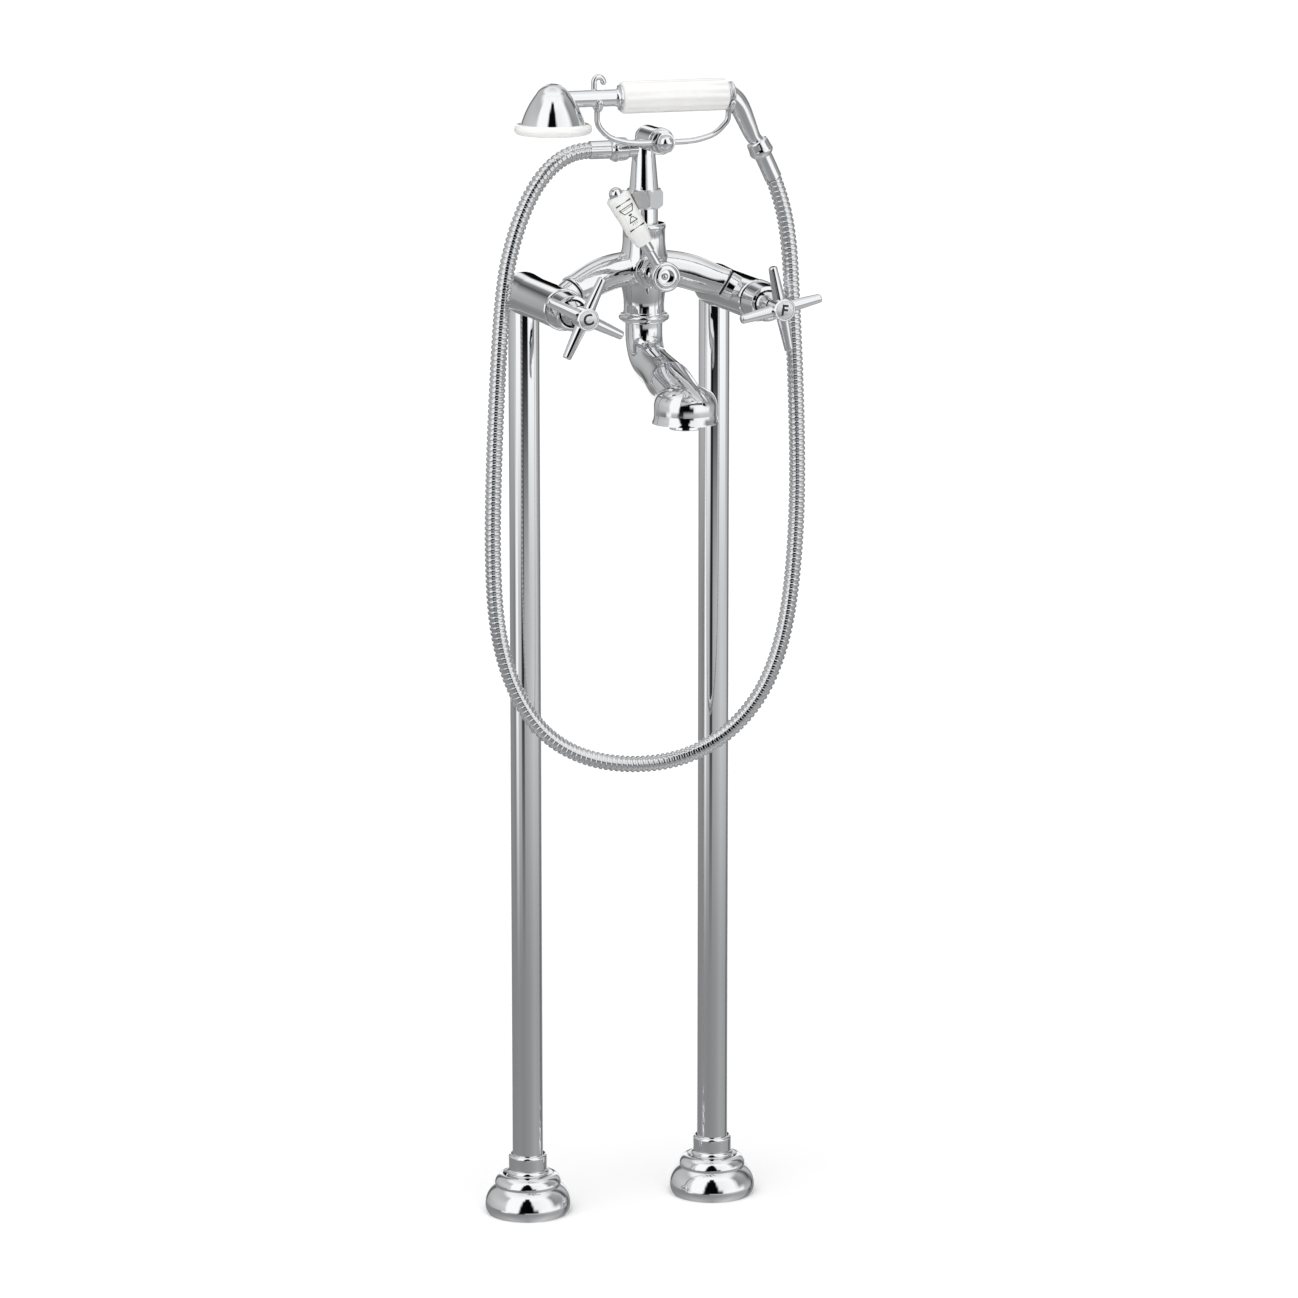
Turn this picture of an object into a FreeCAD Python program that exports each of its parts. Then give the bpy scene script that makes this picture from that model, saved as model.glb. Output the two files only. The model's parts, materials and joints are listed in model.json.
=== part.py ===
import FreeCAD, Part
import math
import os

from FreeCAD import Vector

# Floor standing bath filler: two floor legs carry an arched mixer with cross handles, a swivel spout, a
# diverter lever, and a hand shower on a cradle. Millimetres, +Z up, the bath lies toward -Y.
# The origin is on the floor, midway between the two legs. Left (-X) is hot, right (+X) is cold.

# ---- Driving dimensions ------------------------------------------------------------------------

# Clearances
RUN_GAP = 0.05            # radial play of turning fits
PIPE_GAP = 0.05           # radial play of a pipe in its socket
REST_GAP = 0.3            # height of the handset over its forks

# Legs and feet
LEG_SPACING = 180.0
LEG_OD = 28.0
LEG_WALL = 1.5
LEG_FOOT_Z = 6.0          # lower end of the leg, on the boss of the fixing plate
LEG_SEAM_Z = 754.0        # where the lower and upper lengths meet
NIPPLE_LENGTH = 50.0
NIPPLE_WALL = 2.0
O_RING_SECTION = 2.0
FLANGE_RADIUS = 39.5
FLANGE_FOOT_RADIUS = 37.5
FLANGE_WIDEST_Z = 7.5
FLANGE_CREASE_RADIUS = 30.3
FLANGE_CREASE_Z = 25.5
FLANGE_SHOULDER_RADIUS = 23.0
FLANGE_TOP_Z = 36.5
FLANGE_WALL = 2.0
FLANGE_NECK_FLARE = 0.5   # the neck opens downwards, so that the bell slides over the leg
NECK_BEAD_RADIUS = 19.3
NECK_BEAD_HEIGHT = 5.5
COLLAR_RADIUS = 17.5
COLLAR_HEIGHT = 14.0
COLLAR_ROUND = 2.5
GRUB_SCREW_DIAMETER = 4.0
FIXING_PLATE_RADIUS = 34.0
FIXING_PLATE_THICKNESS = 4.0
FIXING_BOSS_HEIGHT = 18.0
FIXING_BOSS_WALL = 3.0
ANCHOR_SPACING = 50.0     # between the two floor screws of one foot
ANCHOR_DIAMETER = 5.0
ANCHOR_HEAD_DIAMETER = 9.0
ANCHOR_HEAD_HEIGHT = 3.0
ANCHOR_DEPTH = 35.0       # length of thread below the floor
ANCHOR_NECK_RADIUS = 2.2  # plain shank where it goes through the plate

# Corner valve bodies
VALVE_AXIS_Z = 850.0
VALVE_RADIUS = 18.0
VALVE_BACK_RADIUS = 19.3
VALVE_BACK_SETBACK = 2.0  # the rounded back stands this far in front of the leg's axis
VALVE_RIM_RADIUS = 18.6
VALVE_FRONT_Y = -114.0
VALVE_BORE = 25.0
VALVE_PORT_RADIUS = 12.0  # waterway up from the leg
VALVE_WAY_RADIUS = 11.0   # waterway forward to the cartridge
LEG_SOCKET_COVER = 8.0    # height of the casting between the axis and the leg's end
SPIGOT_RADIUS = 12.2
SPIGOT_END_RADIUS = 8.0
SPIGOT_LENGTH = 9.0       # how far the spigot stands into the arm
WASHER_THICKNESS = 1.5

# Headwork and cross handles
BONNET_RADIUS = 17.0
BONNET_FRONT_RADIUS = 15.6
BONNET_LENGTH = 24.0
BONNET_LIP = 2.2          # width of the bright rim round its hollow face
BONNET_HOLLOW_DEPTH = 5.0
CARTRIDGE_HEAD_LENGTH = 8.0
CARTRIDGE_LENGTH = 34.0   # part of the cartridge inside the valve body
SPINDLE_DIAMETER = 8.0
SPINDLE_REACH = 19.0      # how far the spindle stands into the handle
HANDLE_FACE_Y = -180.0
HANDLE_HUB_RADIUS = 9.8
HANDLE_HUB_LENGTH = 43.0
HANDLE_SKIRT_RADIUS = 11.5
HANDLE_ARM_SETBACK = 10.5
HANDLE_ARM_LENGTH = 38.0
HANDLE_ARM_ROOT_RADIUS = 5.8
HANDLE_ARM_TIP_RADIUS = 3.8
HANDLE_ARM_ROUND = 1.6
HOT_HANDLE_ANGLE = 26.0   # clockwise seen from the bath, as it is set in the photograph
COLD_HANDLE_ANGLE = -12.0
INDEX_DISC_DIAMETER = 16.5
INDEX_DISC_THICKNESS = 1.6
HANDLE_SCREW_HEAD = 8.0
HANDLE_SCREW_DIAMETER = 4.0

# Mixer body
MIXER_Y = -66.0
BARREL_RADIUS = 18.0
BARREL_BORE = 26.0
BARREL_BOTTOM_Z = 838.5
SOCKET_RADIUS = 19.5
SOCKET_TOP_Z = 917.0
ARM_RADIUS = 15.5
ARM_ROOT_RADIUS = 15.2
ARM_END_RADIUS = 13.2
ARM_END_ROUND = 1.6
ARM_WALL = 3.2
ARM_ROOT_Z = 877.5
ARM_END_X = 71.0
ARM_END_Y = -80.0
ARM_END_Z = 862.0
ARM_SWEEP = 22.0          # how far the arm's end turns toward the bath, in degrees

# Diverter
DIVERTER_Z = 876.0
DIVERTER_BOSS_RADIUS = 15.0
DIVERTER_BOSS_FRONT_Y = -88.0
DIVERTER_HEX = 25.0       # across flats
DIVERTER_BONNET_LENGTH = 20.0
DIVERTER_BORE = 18.0
DIVERTER_SPINDLE_DIAMETER = 8.0
HUB_RING_RADIUS = 11.7
HUB_RING_LENGTH = 16.0
HUB_RING_ROUND = 4.0
HUB_RECESS_RADIUS = 6.6
HUB_RECESS_DEPTH = 6.0
HUB_FRONT_Y = -127.0
HUB_SCREW_RADIUS = 3.2
LEVER_ANGLE = -31.0       # from the vertical, toward the hot side
LEVER_STEM_RADIUS = 4.2
LEVER_STEM_STEP_RADIUS = 5.2
LEVER_STEM_STEP = 26.0    # distance of the step from the hub axis
LEVER_GRIP_START = 35.0
LEVER_GRIP_LENGTH = 50.0
LEVER_GRIP_WIDTH = 21.5
LEVER_GRIP_THICKNESS = 15.0
LEVER_GRIP_FOOT_WIDTH = 14.5
LEVER_GRIP_TAPER = 13.0
LEVER_GRIP_ROUND = 2.5
LEVER_ROD_DIAMETER = 5.0
LEVER_CAP_RADIUS = 6.2
LEVER_CAP_HEIGHT = 7.0

# Spout
SPOUT_BEAD_RADIUS = 22.5
SPOUT_BEAD_HEIGHT = 9.5
SPOUT_RADIUS = 16.5
SPOUT_WALL = 2.5
SPOUT_SHANK_TOP_Z = 858.0
SPOUT_BEND_Z = 820.0
SPOUT_BEND_RADIUS = 26.0
SPOUT_BEND_ANGLE = 78.0
SPOUT_OUTLET_REACH = 109.0
SPOUT_RIM_Z = 755.5
SPOUT_RIM_RADIUS = 29.2
SPOUT_WAIST_RADIUS = 27.6
SPOUT_BELL_HEIGHT = 34.0
SPOUT_SHOULDER_RADIUS = 17.5
AERATOR_DIAMETER = 28.0
AERATOR_HEIGHT = 14.0
AERATOR_DROP = 6.0
AERATOR_WALL = 2.2

# Riser and cradle
RISER_TAIL_RADIUS = 12.5
RISER_BORE = 16.0
RISER_SOCKET_DEPTH = 14.0
RISER_NUT_Z = 930.0
RISER_NUT_HEIGHT = 17.0
RISER_NUT_HEX = 30.0      # across flats
TEE_FOOT_RADIUS = 13.0
TEE_TOP_RADIUS = 10.2
CRADLE_Z = 993.0
CRADLE_BOSS_RADIUS = 11.0
CRADLE_BOSS_SETBACK = 9.0 # the rounded back of the boss stands this far in front of the riser's axis
CRADLE_BOSS_FRONT_Y = -112.0
CRADLE_ROD_RADIUS = 2.5
CRADLE_EYE_RADIUS = 10.5
CRADLE_EYE_THICKNESS = 5.6
CRADLE_BOLT_DIAMETER = 8.0
CAP_NUT_HEX = 17.0
CAP_NUT_HEX_LENGTH = 6.0
CAP_NUT_DOME_RADIUS = 7.4
FORK_SIDE_GAP = 0.3       # air between the cold side's fork and the grip, and between it and the bend
HANDSET_Y = -118.0
HANDSET_Z = 1033.0
FORK_STEM_TOP_Z = 1046.0
FORK_CURL_RADIUS = 4.3

# Hose connection at the tee
OUTLET_Z = 982.5
OUTLET_SPIGOT_RADIUS = 7.6
OUTLET_THREAD_RADIUS = 7.0
OUTLET_SHOULDER_X = -15.0
HOSE_NUT_RADIUS = 10.4
HOSE_NUT_LENGTH = 17.0
HOSE_NUT_LIP = 3.0        # the nut's inner lip, which the ferrule's collar passes through
HOSE_FERRULE_RADIUS = 7.9
HOSE_FERRULE_LENGTH = 18.5
HOSE_DIAMETER = 14.6
HOSE_BORE = 8.0
HOSE_GRIP = 8.5           # how far the hose goes into each ferrule
HOSE_LAST_RUN = 20.0      # the straight run out of the handset's ferrule, its gripped part included

# Handset
NECK_RADIUS = 7.2
NECK_INNER_RADIUS = 5.9
NECK_COLLAR_RADIUS = 10.8
ROSE_X = -101.0
ROSE_RADIUS = 27.8
ROSE_FOOT_Z = 1012.5
ROSE_DOME_HEIGHT = 34.5
ROSE_CROWN_RADIUS = 14.5  # where the side of the dome turns into its crown
ROSE_CROWN_Z = 1038.6
ROSE_WALL = 1.6
RIM_RADIUS = 33.8
RIM_HEIGHT = 9.0
RIM_INNER_RADIUS = 25.6
SPRAY_PLATE_THICKNESS = 2.5
SPRAY_HOLE_DIAMETER = 1.8
SPRAY_RING_HOLES = (6, 12, 18, 24)
GRIP_START_X = -39.5
GRIP_END_X = 57.6
GRIP_RADIUS = 14.0
GRIP_BORE = 12.2
GRIP_FLUTES = 12
GRIP_FLUTE_RADIUS = 5.0
GRIP_FLUTE_DEPTH = 0.7
GRIP_ROUND = 3.0
TAIL_RING_RADIUS = 10.9
TAIL_RING_LENGTH = 6.0
TAIL_ROOT_RADIUS = 8.8
TAIL_BEND = [             # along and below the grip's end, and radius, down the bend
    (4.0, 1.4, 9.2), (7.2, 4.4, 9.3), (11.0, 9.0, 9.2), (14.2, 14.4, 8.8), (17.3, 21.0, 8.3),
    (20.6, 28.4, 7.7),
    (24.3, 36.4, 6.9),
]
TAIL_END_RADIUS = 6.4
TAIL_ANGLE = 64.5         # slope of the tail's end below the horizontal
TAIL_END_X = 85.9
TAIL_END_Z = 991.7
TAIL_BORE = 8.0
END_NUT_LENGTH = 15.0
END_FERRULE_RADIUS = 7.8
END_FERRULE_LENGTH = 22.0

# The hose hangs from the tee's outlet to the handset's tail: points of its route between the two ferrules
HOSE_ROUTE = [
    (-58.0, -66.0, 982.5), (-73.8, -66.4, 977.7), (-88.5, -67.0, 967.4), (-104.9, -68.0, 947.2),
    (-120.4, -69.2, 912.5), (-131.5, -70.0, 867.9), (-137.8, -70.2, 778.0), (-141.5, -70.2, 698.0),
    (-143.0, -70.4, 625.0), (-140.0, -71.6, 562.0), (-127.5, -75.5, 511.0), (-104.0, -81.5, 470.0),
    (-70.0, -88.0, 445.5), (-27.0, -95.7, 435.5), (20.0, -103.5, 438.5), (62.0, -110.3, 459.0),
    (95.0, -115.5, 496.0), (114.0, -118.0, 547.0), (122.8, -118.2, 608.0), (126.2, -118.3, 680.0),
    (124.4, -118.2, 762.0), (120.3, -118.1, 845.0), (116.6, -118.0, 908.0),
]

UP = Vector(0, 0, 1)
FRONT = Vector(0, -1, 0)
LEFT = Vector(-1, 0, 0)
RIGHT = Vector(1, 0, 0)
SIDES = {"hot": -1, "cold": 1}

os.makedirs("parts", exist_ok=True)


# ---- Shape helpers -----------------------------------------------------------------------------

def export(name, *solids):
    shape = solids[0] if len(solids) == 1 else Part.makeCompound(list(solids))
    shape.exportStep("parts/" + name + ".step")


def placed(shape, base, axis):
    """Moves a shape made about the Z axis so that it stands on base along axis."""
    moved = shape.copy()
    moved.Placement = FreeCAD.Placement(base, FreeCAD.Rotation(UP, axis))
    return moved


def turned(profile, base=Vector(0, 0, 0), axis=UP):
    """Turns a closed (radius, height) outline; an item with two points is an arc through the first."""
    edges = []
    here = Vector(profile[0][0], 0, profile[0][1])
    for item in profile[1:] + profile[:1]:
        if isinstance(item[0], tuple):
            middle = Vector(item[0][0], 0, item[0][1])
            there = Vector(item[1][0], 0, item[1][1])
            edges.append(Part.Arc(here, middle, there).toShape())
        else:
            there = Vector(item[0], 0, item[1])
            if here.distanceToPoint(there) > 1e-6:
                edges.append(Part.LineSegment(here, there).toShape())
        here = there
    face = Part.Face(Part.Wire(edges))
    return placed(face.revolve(Vector(0, 0, 0), UP, 360), base, axis)


def cap(radius, low, top):
    """The arc of a spherical cap, from (radius, low) to the axis at top, as an outline item."""
    height = top - low
    ball = (radius ** 2 + height ** 2) / (2 * height)
    half = math.asin(radius / ball) / 2
    return (ball * math.sin(half), top - ball + ball * math.cos(half)), (0, top)


def rod(radius, length, base, axis):
    return Part.makeCylinder(radius, length, base, axis)


def tube(outer, inner, length, base, axis):
    return rod(outer, length, base, axis).cut(rod(inner, length, base, axis))


def rounded_rod(radius, length, round_start, round_end, base, axis):
    """A rod with rounded rims."""
    s = math.sqrt(0.5)
    profile = [(0, 0), (radius - round_start, 0)]
    if round_start > 0:
        profile.append(((radius - round_start * (1 - s), round_start * (1 - s)), (radius, round_start)))
    profile.append((radius, length - round_end))
    if round_end > 0:
        top = length - round_end * (1 - s)
        profile.append(((radius - round_end * (1 - s), top), (radius - round_end, length)))
    profile.append((0, length))
    return turned(profile, base, axis)


def ring(major, minor, centre, axis):
    return Part.makeTorus(major, minor, centre, axis)


def hexagon(across_flats, length, base, axis, chamfer=1.5):
    """A hexagonal nut blank with its corners turned off at both ends."""
    corner = across_flats / math.sqrt(3)
    points = [Vector(corner * math.cos(math.radians(60 * i)), corner * math.sin(math.radians(60 * i)), 0)
              for i in range(6)]
    prism = Part.Face(Part.makePolygon(points + points[:1])).extrude(Vector(0, 0, length))
    flat = across_flats / 2
    envelope = turned([(0, 0), (flat - 0.3, 0), (corner + 0.1, chamfer), (corner + 0.1, length - chamfer),
                       (flat - 0.3, length), (0, length)])
    return placed(prism.common(envelope), base, axis)


def loft(stations, side):
    """A solid through circles, each given as (centre, direction, radius); side is square to them all."""
    wires = []
    for centre, direction, radius in stations:
        circle = Part.makeCircle(radius)
        circle.Placement = FreeCAD.Placement(centre,
                                             FreeCAD.Rotation(side, Vector(0, 0, 0), direction, "ZXY"))
        wires.append(Part.Wire([circle]))
    return Part.makeLoft(wires, True, False)


def rounded_path(points, factor=0.45):
    """Straight runs joined by tangent arcs; returns the wire and the arcs' radii."""
    corners = [Vector(*p) for p in points]
    edges = []
    radii = []
    here = corners[0]
    for before, corner, after in zip(corners, corners[1:], corners[2:]):
        way_in = (corner - before).normalize()
        way_out = (after - corner).normalize()
        turn = way_in.getAngle(way_out)
        shorter = min(before.distanceToPoint(corner), corner.distanceToPoint(after))
        cut = factor * shorter
        start = corner - way_in * cut
        end = corner + way_out * cut
        radius = cut / math.tan(turn / 2)
        toward = (way_out - way_in).normalize()
        middle = corner + toward * (radius / math.cos(turn / 2) - radius)
        if here.distanceToPoint(start) > 1e-6:
            edges.append(Part.LineSegment(here, start).toShape())
        edges.append(Part.Arc(start, middle, end).toShape())
        radii.append(radius)
        here = end
    edges.append(Part.LineSegment(here, corners[-1]).toShape())
    return Part.Wire(edges), radii


def swept(wire, radius, inner=0.0):
    """A round bar, or a pipe if inner is given, along a path."""
    first = wire.OrderedEdges[0]
    start = first.valueAt(first.FirstParameter)
    tangent = first.tangentAt(first.FirstParameter)
    outer = wire.makePipeShell([Part.Wire([Part.makeCircle(radius, start, tangent)])], True, False)
    if inner > 0:
        hole = wire.makePipeShell([Part.Wire([Part.makeCircle(inner, start, tangent)])], True, False)
        return outer.cut(hole)
    return outer


def turned_about(shape, centre, axis, degrees):
    moved = shape.copy()
    moved.rotate(centre, axis, degrees)
    return moved


# ---- Feet and legs -----------------------------------------------------------------------------

leg_radius = LEG_OD / 2
leg_inner = leg_radius - LEG_WALL
leg_x = LEG_SPACING / 2
leg_top_z = VALVE_AXIS_Z - LEG_SOCKET_COVER
bead_z = FLANGE_TOP_Z - 1.0
collar_z = bead_z + NECK_BEAD_HEIGHT
leg_bore = leg_radius + PIPE_GAP


def floor_flange(x):
    """A spun bell with two lobes, a flat shoulder and a bead round its neck, open below."""
    w = FLANGE_WALL
    bead_top = collar_z
    bead_middle = bead_z + NECK_BEAD_HEIGHT / 2
    outline = [
        (FLANGE_FOOT_RADIUS, 0),
        ((FLANGE_RADIUS - 0.4, FLANGE_WIDEST_Z / 2), (FLANGE_RADIUS, FLANGE_WIDEST_Z)),
        ((FLANGE_RADIUS - 2.9, FLANGE_WIDEST_Z + 11.0), (FLANGE_CREASE_RADIUS, FLANGE_CREASE_Z)),
        ((FLANGE_CREASE_RADIUS - 2.2, FLANGE_TOP_Z - 2.8), (FLANGE_SHOULDER_RADIUS, FLANGE_TOP_Z)),
        (NECK_BEAD_RADIUS - 1.0, FLANGE_TOP_Z - 1.0),
        ((NECK_BEAD_RADIUS, bead_middle), (NECK_BEAD_RADIUS - 1.8, bead_top)),
        (leg_bore, bead_top),
        (leg_bore + FLANGE_NECK_FLARE, FLANGE_TOP_Z - w - 1.0),
        (FLANGE_SHOULDER_RADIUS - 1.0, FLANGE_TOP_Z - w - 1.0),
        (FLANGE_CREASE_RADIUS - w - 0.6, FLANGE_CREASE_Z - 0.5),
        (FLANGE_RADIUS - w - 2.8, FLANGE_WIDEST_Z + 8.0),
        (FLANGE_RADIUS - w - 0.4, FLANGE_WIDEST_Z),
        (FLANGE_FOOT_RADIUS - w, 0),
    ]
    return turned(outline, Vector(x, 0, 0))


def flange_collar(x):
    """The ring that clamps on the leg and keeps the bell down."""
    collar = rounded_rod(COLLAR_RADIUS, COLLAR_HEIGHT, 0.8, COLLAR_ROUND, Vector(x, 0, collar_z), UP)
    collar = collar.cut(rod(leg_bore, COLLAR_HEIGHT, Vector(x, 0, collar_z), UP))
    hole = rod(GRUB_SCREW_DIAMETER / 2, COLLAR_RADIUS, Vector(x, 0, collar_z + COLLAR_HEIGHT / 2),
               Vector(0, 1, 0))
    return collar.cut(hole)


def grub_screw(x):
    """A socket set screw at the back of the collar."""
    middle = collar_z + COLLAR_HEIGHT / 2
    length = COLLAR_RADIUS - leg_radius - 0.6
    screw = rod(GRUB_SCREW_DIAMETER / 2, length, Vector(x, leg_radius + PIPE_GAP, middle), Vector(0, 1, 0))
    socket = hexagon(2.0, 1.6, Vector(x, leg_radius + PIPE_GAP + length - 1.6, middle), Vector(0, 1, 0), 0.0)
    return screw.cut(socket)


def anchor_places(x):
    return [(x, s * ANCHOR_SPACING / 2) for s in (-1, 1)]


def fixing_plate(x):
    """A disc screwed to the floor, with a boss that the leg stands on and a nipple that goes up into it."""
    boss_inner = leg_inner - PIPE_GAP - FIXING_BOSS_WALL
    plate = rod(FIXING_PLATE_RADIUS, FIXING_PLATE_THICKNESS, Vector(x, 0, 0), UP)
    plate = plate.fuse(rod(leg_radius + 1.0, LEG_FOOT_Z, Vector(x, 0, 0), UP))
    plate = plate.fuse(rod(leg_inner - PIPE_GAP, LEG_FOOT_Z + FIXING_BOSS_HEIGHT, Vector(x, 0, 0), UP))
    plate = plate.cut(rod(boss_inner, LEG_FOOT_Z + FIXING_BOSS_HEIGHT, Vector(x, 0, 0), UP))
    for px, py in anchor_places(x):
        plate = plate.cut(rod(ANCHOR_DIAMETER / 2 + 0.2, FIXING_PLATE_THICKNESS, Vector(px, py, 0), UP))
    return plate


def anchor_screw(px, py):
    """A pan head wood screw through the plate into the floor."""
    head = rounded_rod(ANCHOR_HEAD_DIAMETER / 2, ANCHOR_HEAD_HEIGHT, 0, 1.2,
                       Vector(px, py, FIXING_PLATE_THICKNESS), UP)
    slot = Part.makeBox(ANCHOR_HEAD_DIAMETER, 1.2, 1.2,
                        Vector(px - ANCHOR_HEAD_DIAMETER / 2, py - 0.6,
                               FIXING_PLATE_THICKNESS + ANCHOR_HEAD_HEIGHT - 1.2))
    radius = ANCHOR_DIAMETER / 2
    neck = ANCHOR_NECK_RADIUS
    shank = turned([(0, -ANCHOR_DEPTH), (radius, -ANCHOR_DEPTH + 6.0), (radius, 0), (neck, 0),
                    (neck, FIXING_PLATE_THICKNESS + 1.0), (0, FIXING_PLATE_THICKNESS + 1.0)],
                   Vector(px, py, 0))
    return head.cut(slot).fuse(shank)


def lower_leg(x):
    return tube(leg_radius, leg_inner, LEG_SEAM_Z - LEG_FOOT_Z, Vector(x, 0, LEG_FOOT_Z), UP)


def upper_leg(x):
    return tube(leg_radius, leg_inner, leg_top_z - LEG_SEAM_Z, Vector(x, 0, LEG_SEAM_Z), UP)


def groove_heights():
    return [LEG_SEAM_Z + s * NIPPLE_LENGTH / 4 for s in (-1, 1)]


def joint_nipple(x):
    """The sleeve inside the leg that joins its two lengths, with a groove for an O-ring in each half."""
    outer = leg_inner - PIPE_GAP
    nipple = tube(outer, outer - NIPPLE_WALL - O_RING_SECTION, NIPPLE_LENGTH,
                  Vector(x, 0, LEG_SEAM_Z - NIPPLE_LENGTH / 2), UP)
    for z in groove_heights():
        half = O_RING_SECTION / 2 + 0.1
        nipple = nipple.cut(tube(outer + 1.0, outer - 2 * half, 2 * half, Vector(x, 0, z - half), UP))
    return nipple


def joint_o_ring(x, z):
    minor = O_RING_SECTION / 2
    return ring(leg_inner - PIPE_GAP - minor, minor, Vector(x, 0, z), UP)


# ---- Corner valve bodies, headwork and handles -------------------------------------------------

def arm_end(side):
    return Vector(side * ARM_END_X, ARM_END_Y, ARM_END_Z)


def arm_direction(side):
    """Outward along the arm at its end: forward by the sweep, and down so that it meets the valve's axis."""
    across = leg_x - ARM_END_X
    return Vector(side * across, -across * math.tan(math.radians(ARM_SWEEP)),
                  VALVE_AXIS_Z - ARM_END_Z).normalize()


def spigot_depth():
    """From the arm's end to the valve's axis, along the spigot."""
    return (leg_x - ARM_END_X) / arm_direction(1).x


def valve_body(side):
    """A casting that turns the supply from the leg to the front and feeds the arm beside it."""
    x = side * leg_x
    centre = Vector(x, 0, VALVE_AXIS_Z)
    front = -VALVE_FRONT_Y
    r = VALVE_RADIUS
    rim = VALVE_RIM_RADIUS
    ball = VALVE_BACK_RADIUS
    start = VALVE_BACK_SETBACK
    s = math.sqrt(0.5)
    body = turned([(0, start - ball), ((ball * s, start - ball * s), (ball, start)), (r, 30.0),
                   (r, front - 5.0),
                   (rim, front - 4.2), (rim, front - 0.8), (rim - 0.8, front), (0, front)], centre, FRONT)
    way = arm_direction(side)
    depth = spigot_depth()
    root = arm_end(side) + way * depth
    boss_length = depth - WASHER_THICKNESS
    spigot = rounded_rod(SPIGOT_RADIUS, boss_length, 0, 0.8, root, way * -1)
    spigot = spigot.fuse(rod(SPIGOT_END_RADIUS, depth + SPIGOT_LENGTH, root, way * -1))
    body = body.fuse(spigot)
    socket_z = leg_top_z
    body = body.cut(rod(leg_bore, socket_z - VALVE_AXIS_Z + 30.0, Vector(x, 0, VALVE_AXIS_Z - 30.0), UP))
    body = body.cut(rod(VALVE_PORT_RADIUS, VALVE_AXIS_Z - socket_z + 1.0, Vector(x, 0, socket_z - 0.5), UP))
    body = body.cut(rod(VALVE_WAY_RADIUS, front, centre, FRONT))
    body = body.cut(rod(VALVE_BORE / 2, CARTRIDGE_LENGTH, Vector(x, VALVE_FRONT_Y, VALVE_AXIS_Z),
                        FRONT * -1))
    spot_face = tube(ARM_END_RADIUS + 1.0, SPIGOT_END_RADIUS, WASHER_THICKNESS, arm_end(side), way)
    return body.cut(spot_face).cut(rod(SPIGOT_END_RADIUS - 2.5, depth + SPIGOT_LENGTH, root, way * -1))


def cartridge(side):
    """A ceramic disc cartridge: the part in the valve body and the head that the bonnet holds."""
    x = side * leg_x
    outer = VALVE_BORE / 2 - PIPE_GAP
    deep = CARTRIDGE_LENGTH
    base = Vector(x, VALVE_FRONT_Y + deep, VALVE_AXIS_Z)
    bore = SPINDLE_DIAMETER / 2 + RUN_GAP
    disc = SPINDLE_DIAMETER / 2 + 4.0
    head = outer - 2.0
    return turned([(disc + RUN_GAP, 0), (outer, 0), (outer, deep), (head, deep),
                   (head, deep + CARTRIDGE_HEAD_LENGTH),
                   (bore, deep + CARTRIDGE_HEAD_LENGTH), (bore, 6.0), (disc + RUN_GAP, 6.0)], base, FRONT)


def bonnet(side):
    """The round screwed shroud over the cartridge, with a groove at its foot and a hollow face."""
    base = Vector(side * leg_x, VALVE_FRONT_Y, VALVE_AXIS_Z)
    inner = VALVE_BORE / 2 - 2.0
    stem = SPINDLE_DIAMETER / 2 + RUN_GAP
    n = BONNET_LENGTH
    front = BONNET_FRONT_RADIUS
    lip = front - 0.8 - BONNET_LIP
    floor = n - BONNET_HOLLOW_DEPTH
    return turned([
        (inner, 0), (BONNET_RADIUS - 1.2, 0), (BONNET_RADIUS - 1.2, 1.2), (BONNET_RADIUS, 1.8),
        (front, n - 0.8),
        ((front - 0.25, n - 0.25), (front - 0.8, n)), (lip, n), (lip - 1.2, floor), (stem, floor),
        (stem, CARTRIDGE_HEAD_LENGTH), (inner, CARTRIDGE_HEAD_LENGTH),
    ], base, FRONT)


hub_back_y = HANDLE_FACE_Y + HANDLE_HUB_LENGTH
hub_face_depth = INDEX_DISC_THICKNESS + 0.4
spindle_end_y = hub_back_y - SPINDLE_REACH


def spindle(side):
    """The turning stem: a ceramic disc at its inner end, a square at the handle."""
    x = side * leg_x
    start_y = VALVE_FRONT_Y + CARTRIDGE_LENGTH
    disc = SPINDLE_DIAMETER / 2 + 4.0
    length = start_y - spindle_end_y
    stem = turned([(0, 0), (disc, 0), (disc, 6.0 - RUN_GAP), (SPINDLE_DIAMETER / 2, 6.0 - RUN_GAP),
                   (SPINDLE_DIAMETER / 2, length), (0, length)], Vector(x, start_y, VALVE_AXIS_Z), FRONT)
    hole = rod(HANDLE_SCREW_DIAMETER / 2, 8.0, Vector(x, spindle_end_y + 8.0, VALVE_AXIS_Z), FRONT)
    return stem.cut(hole)


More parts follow.
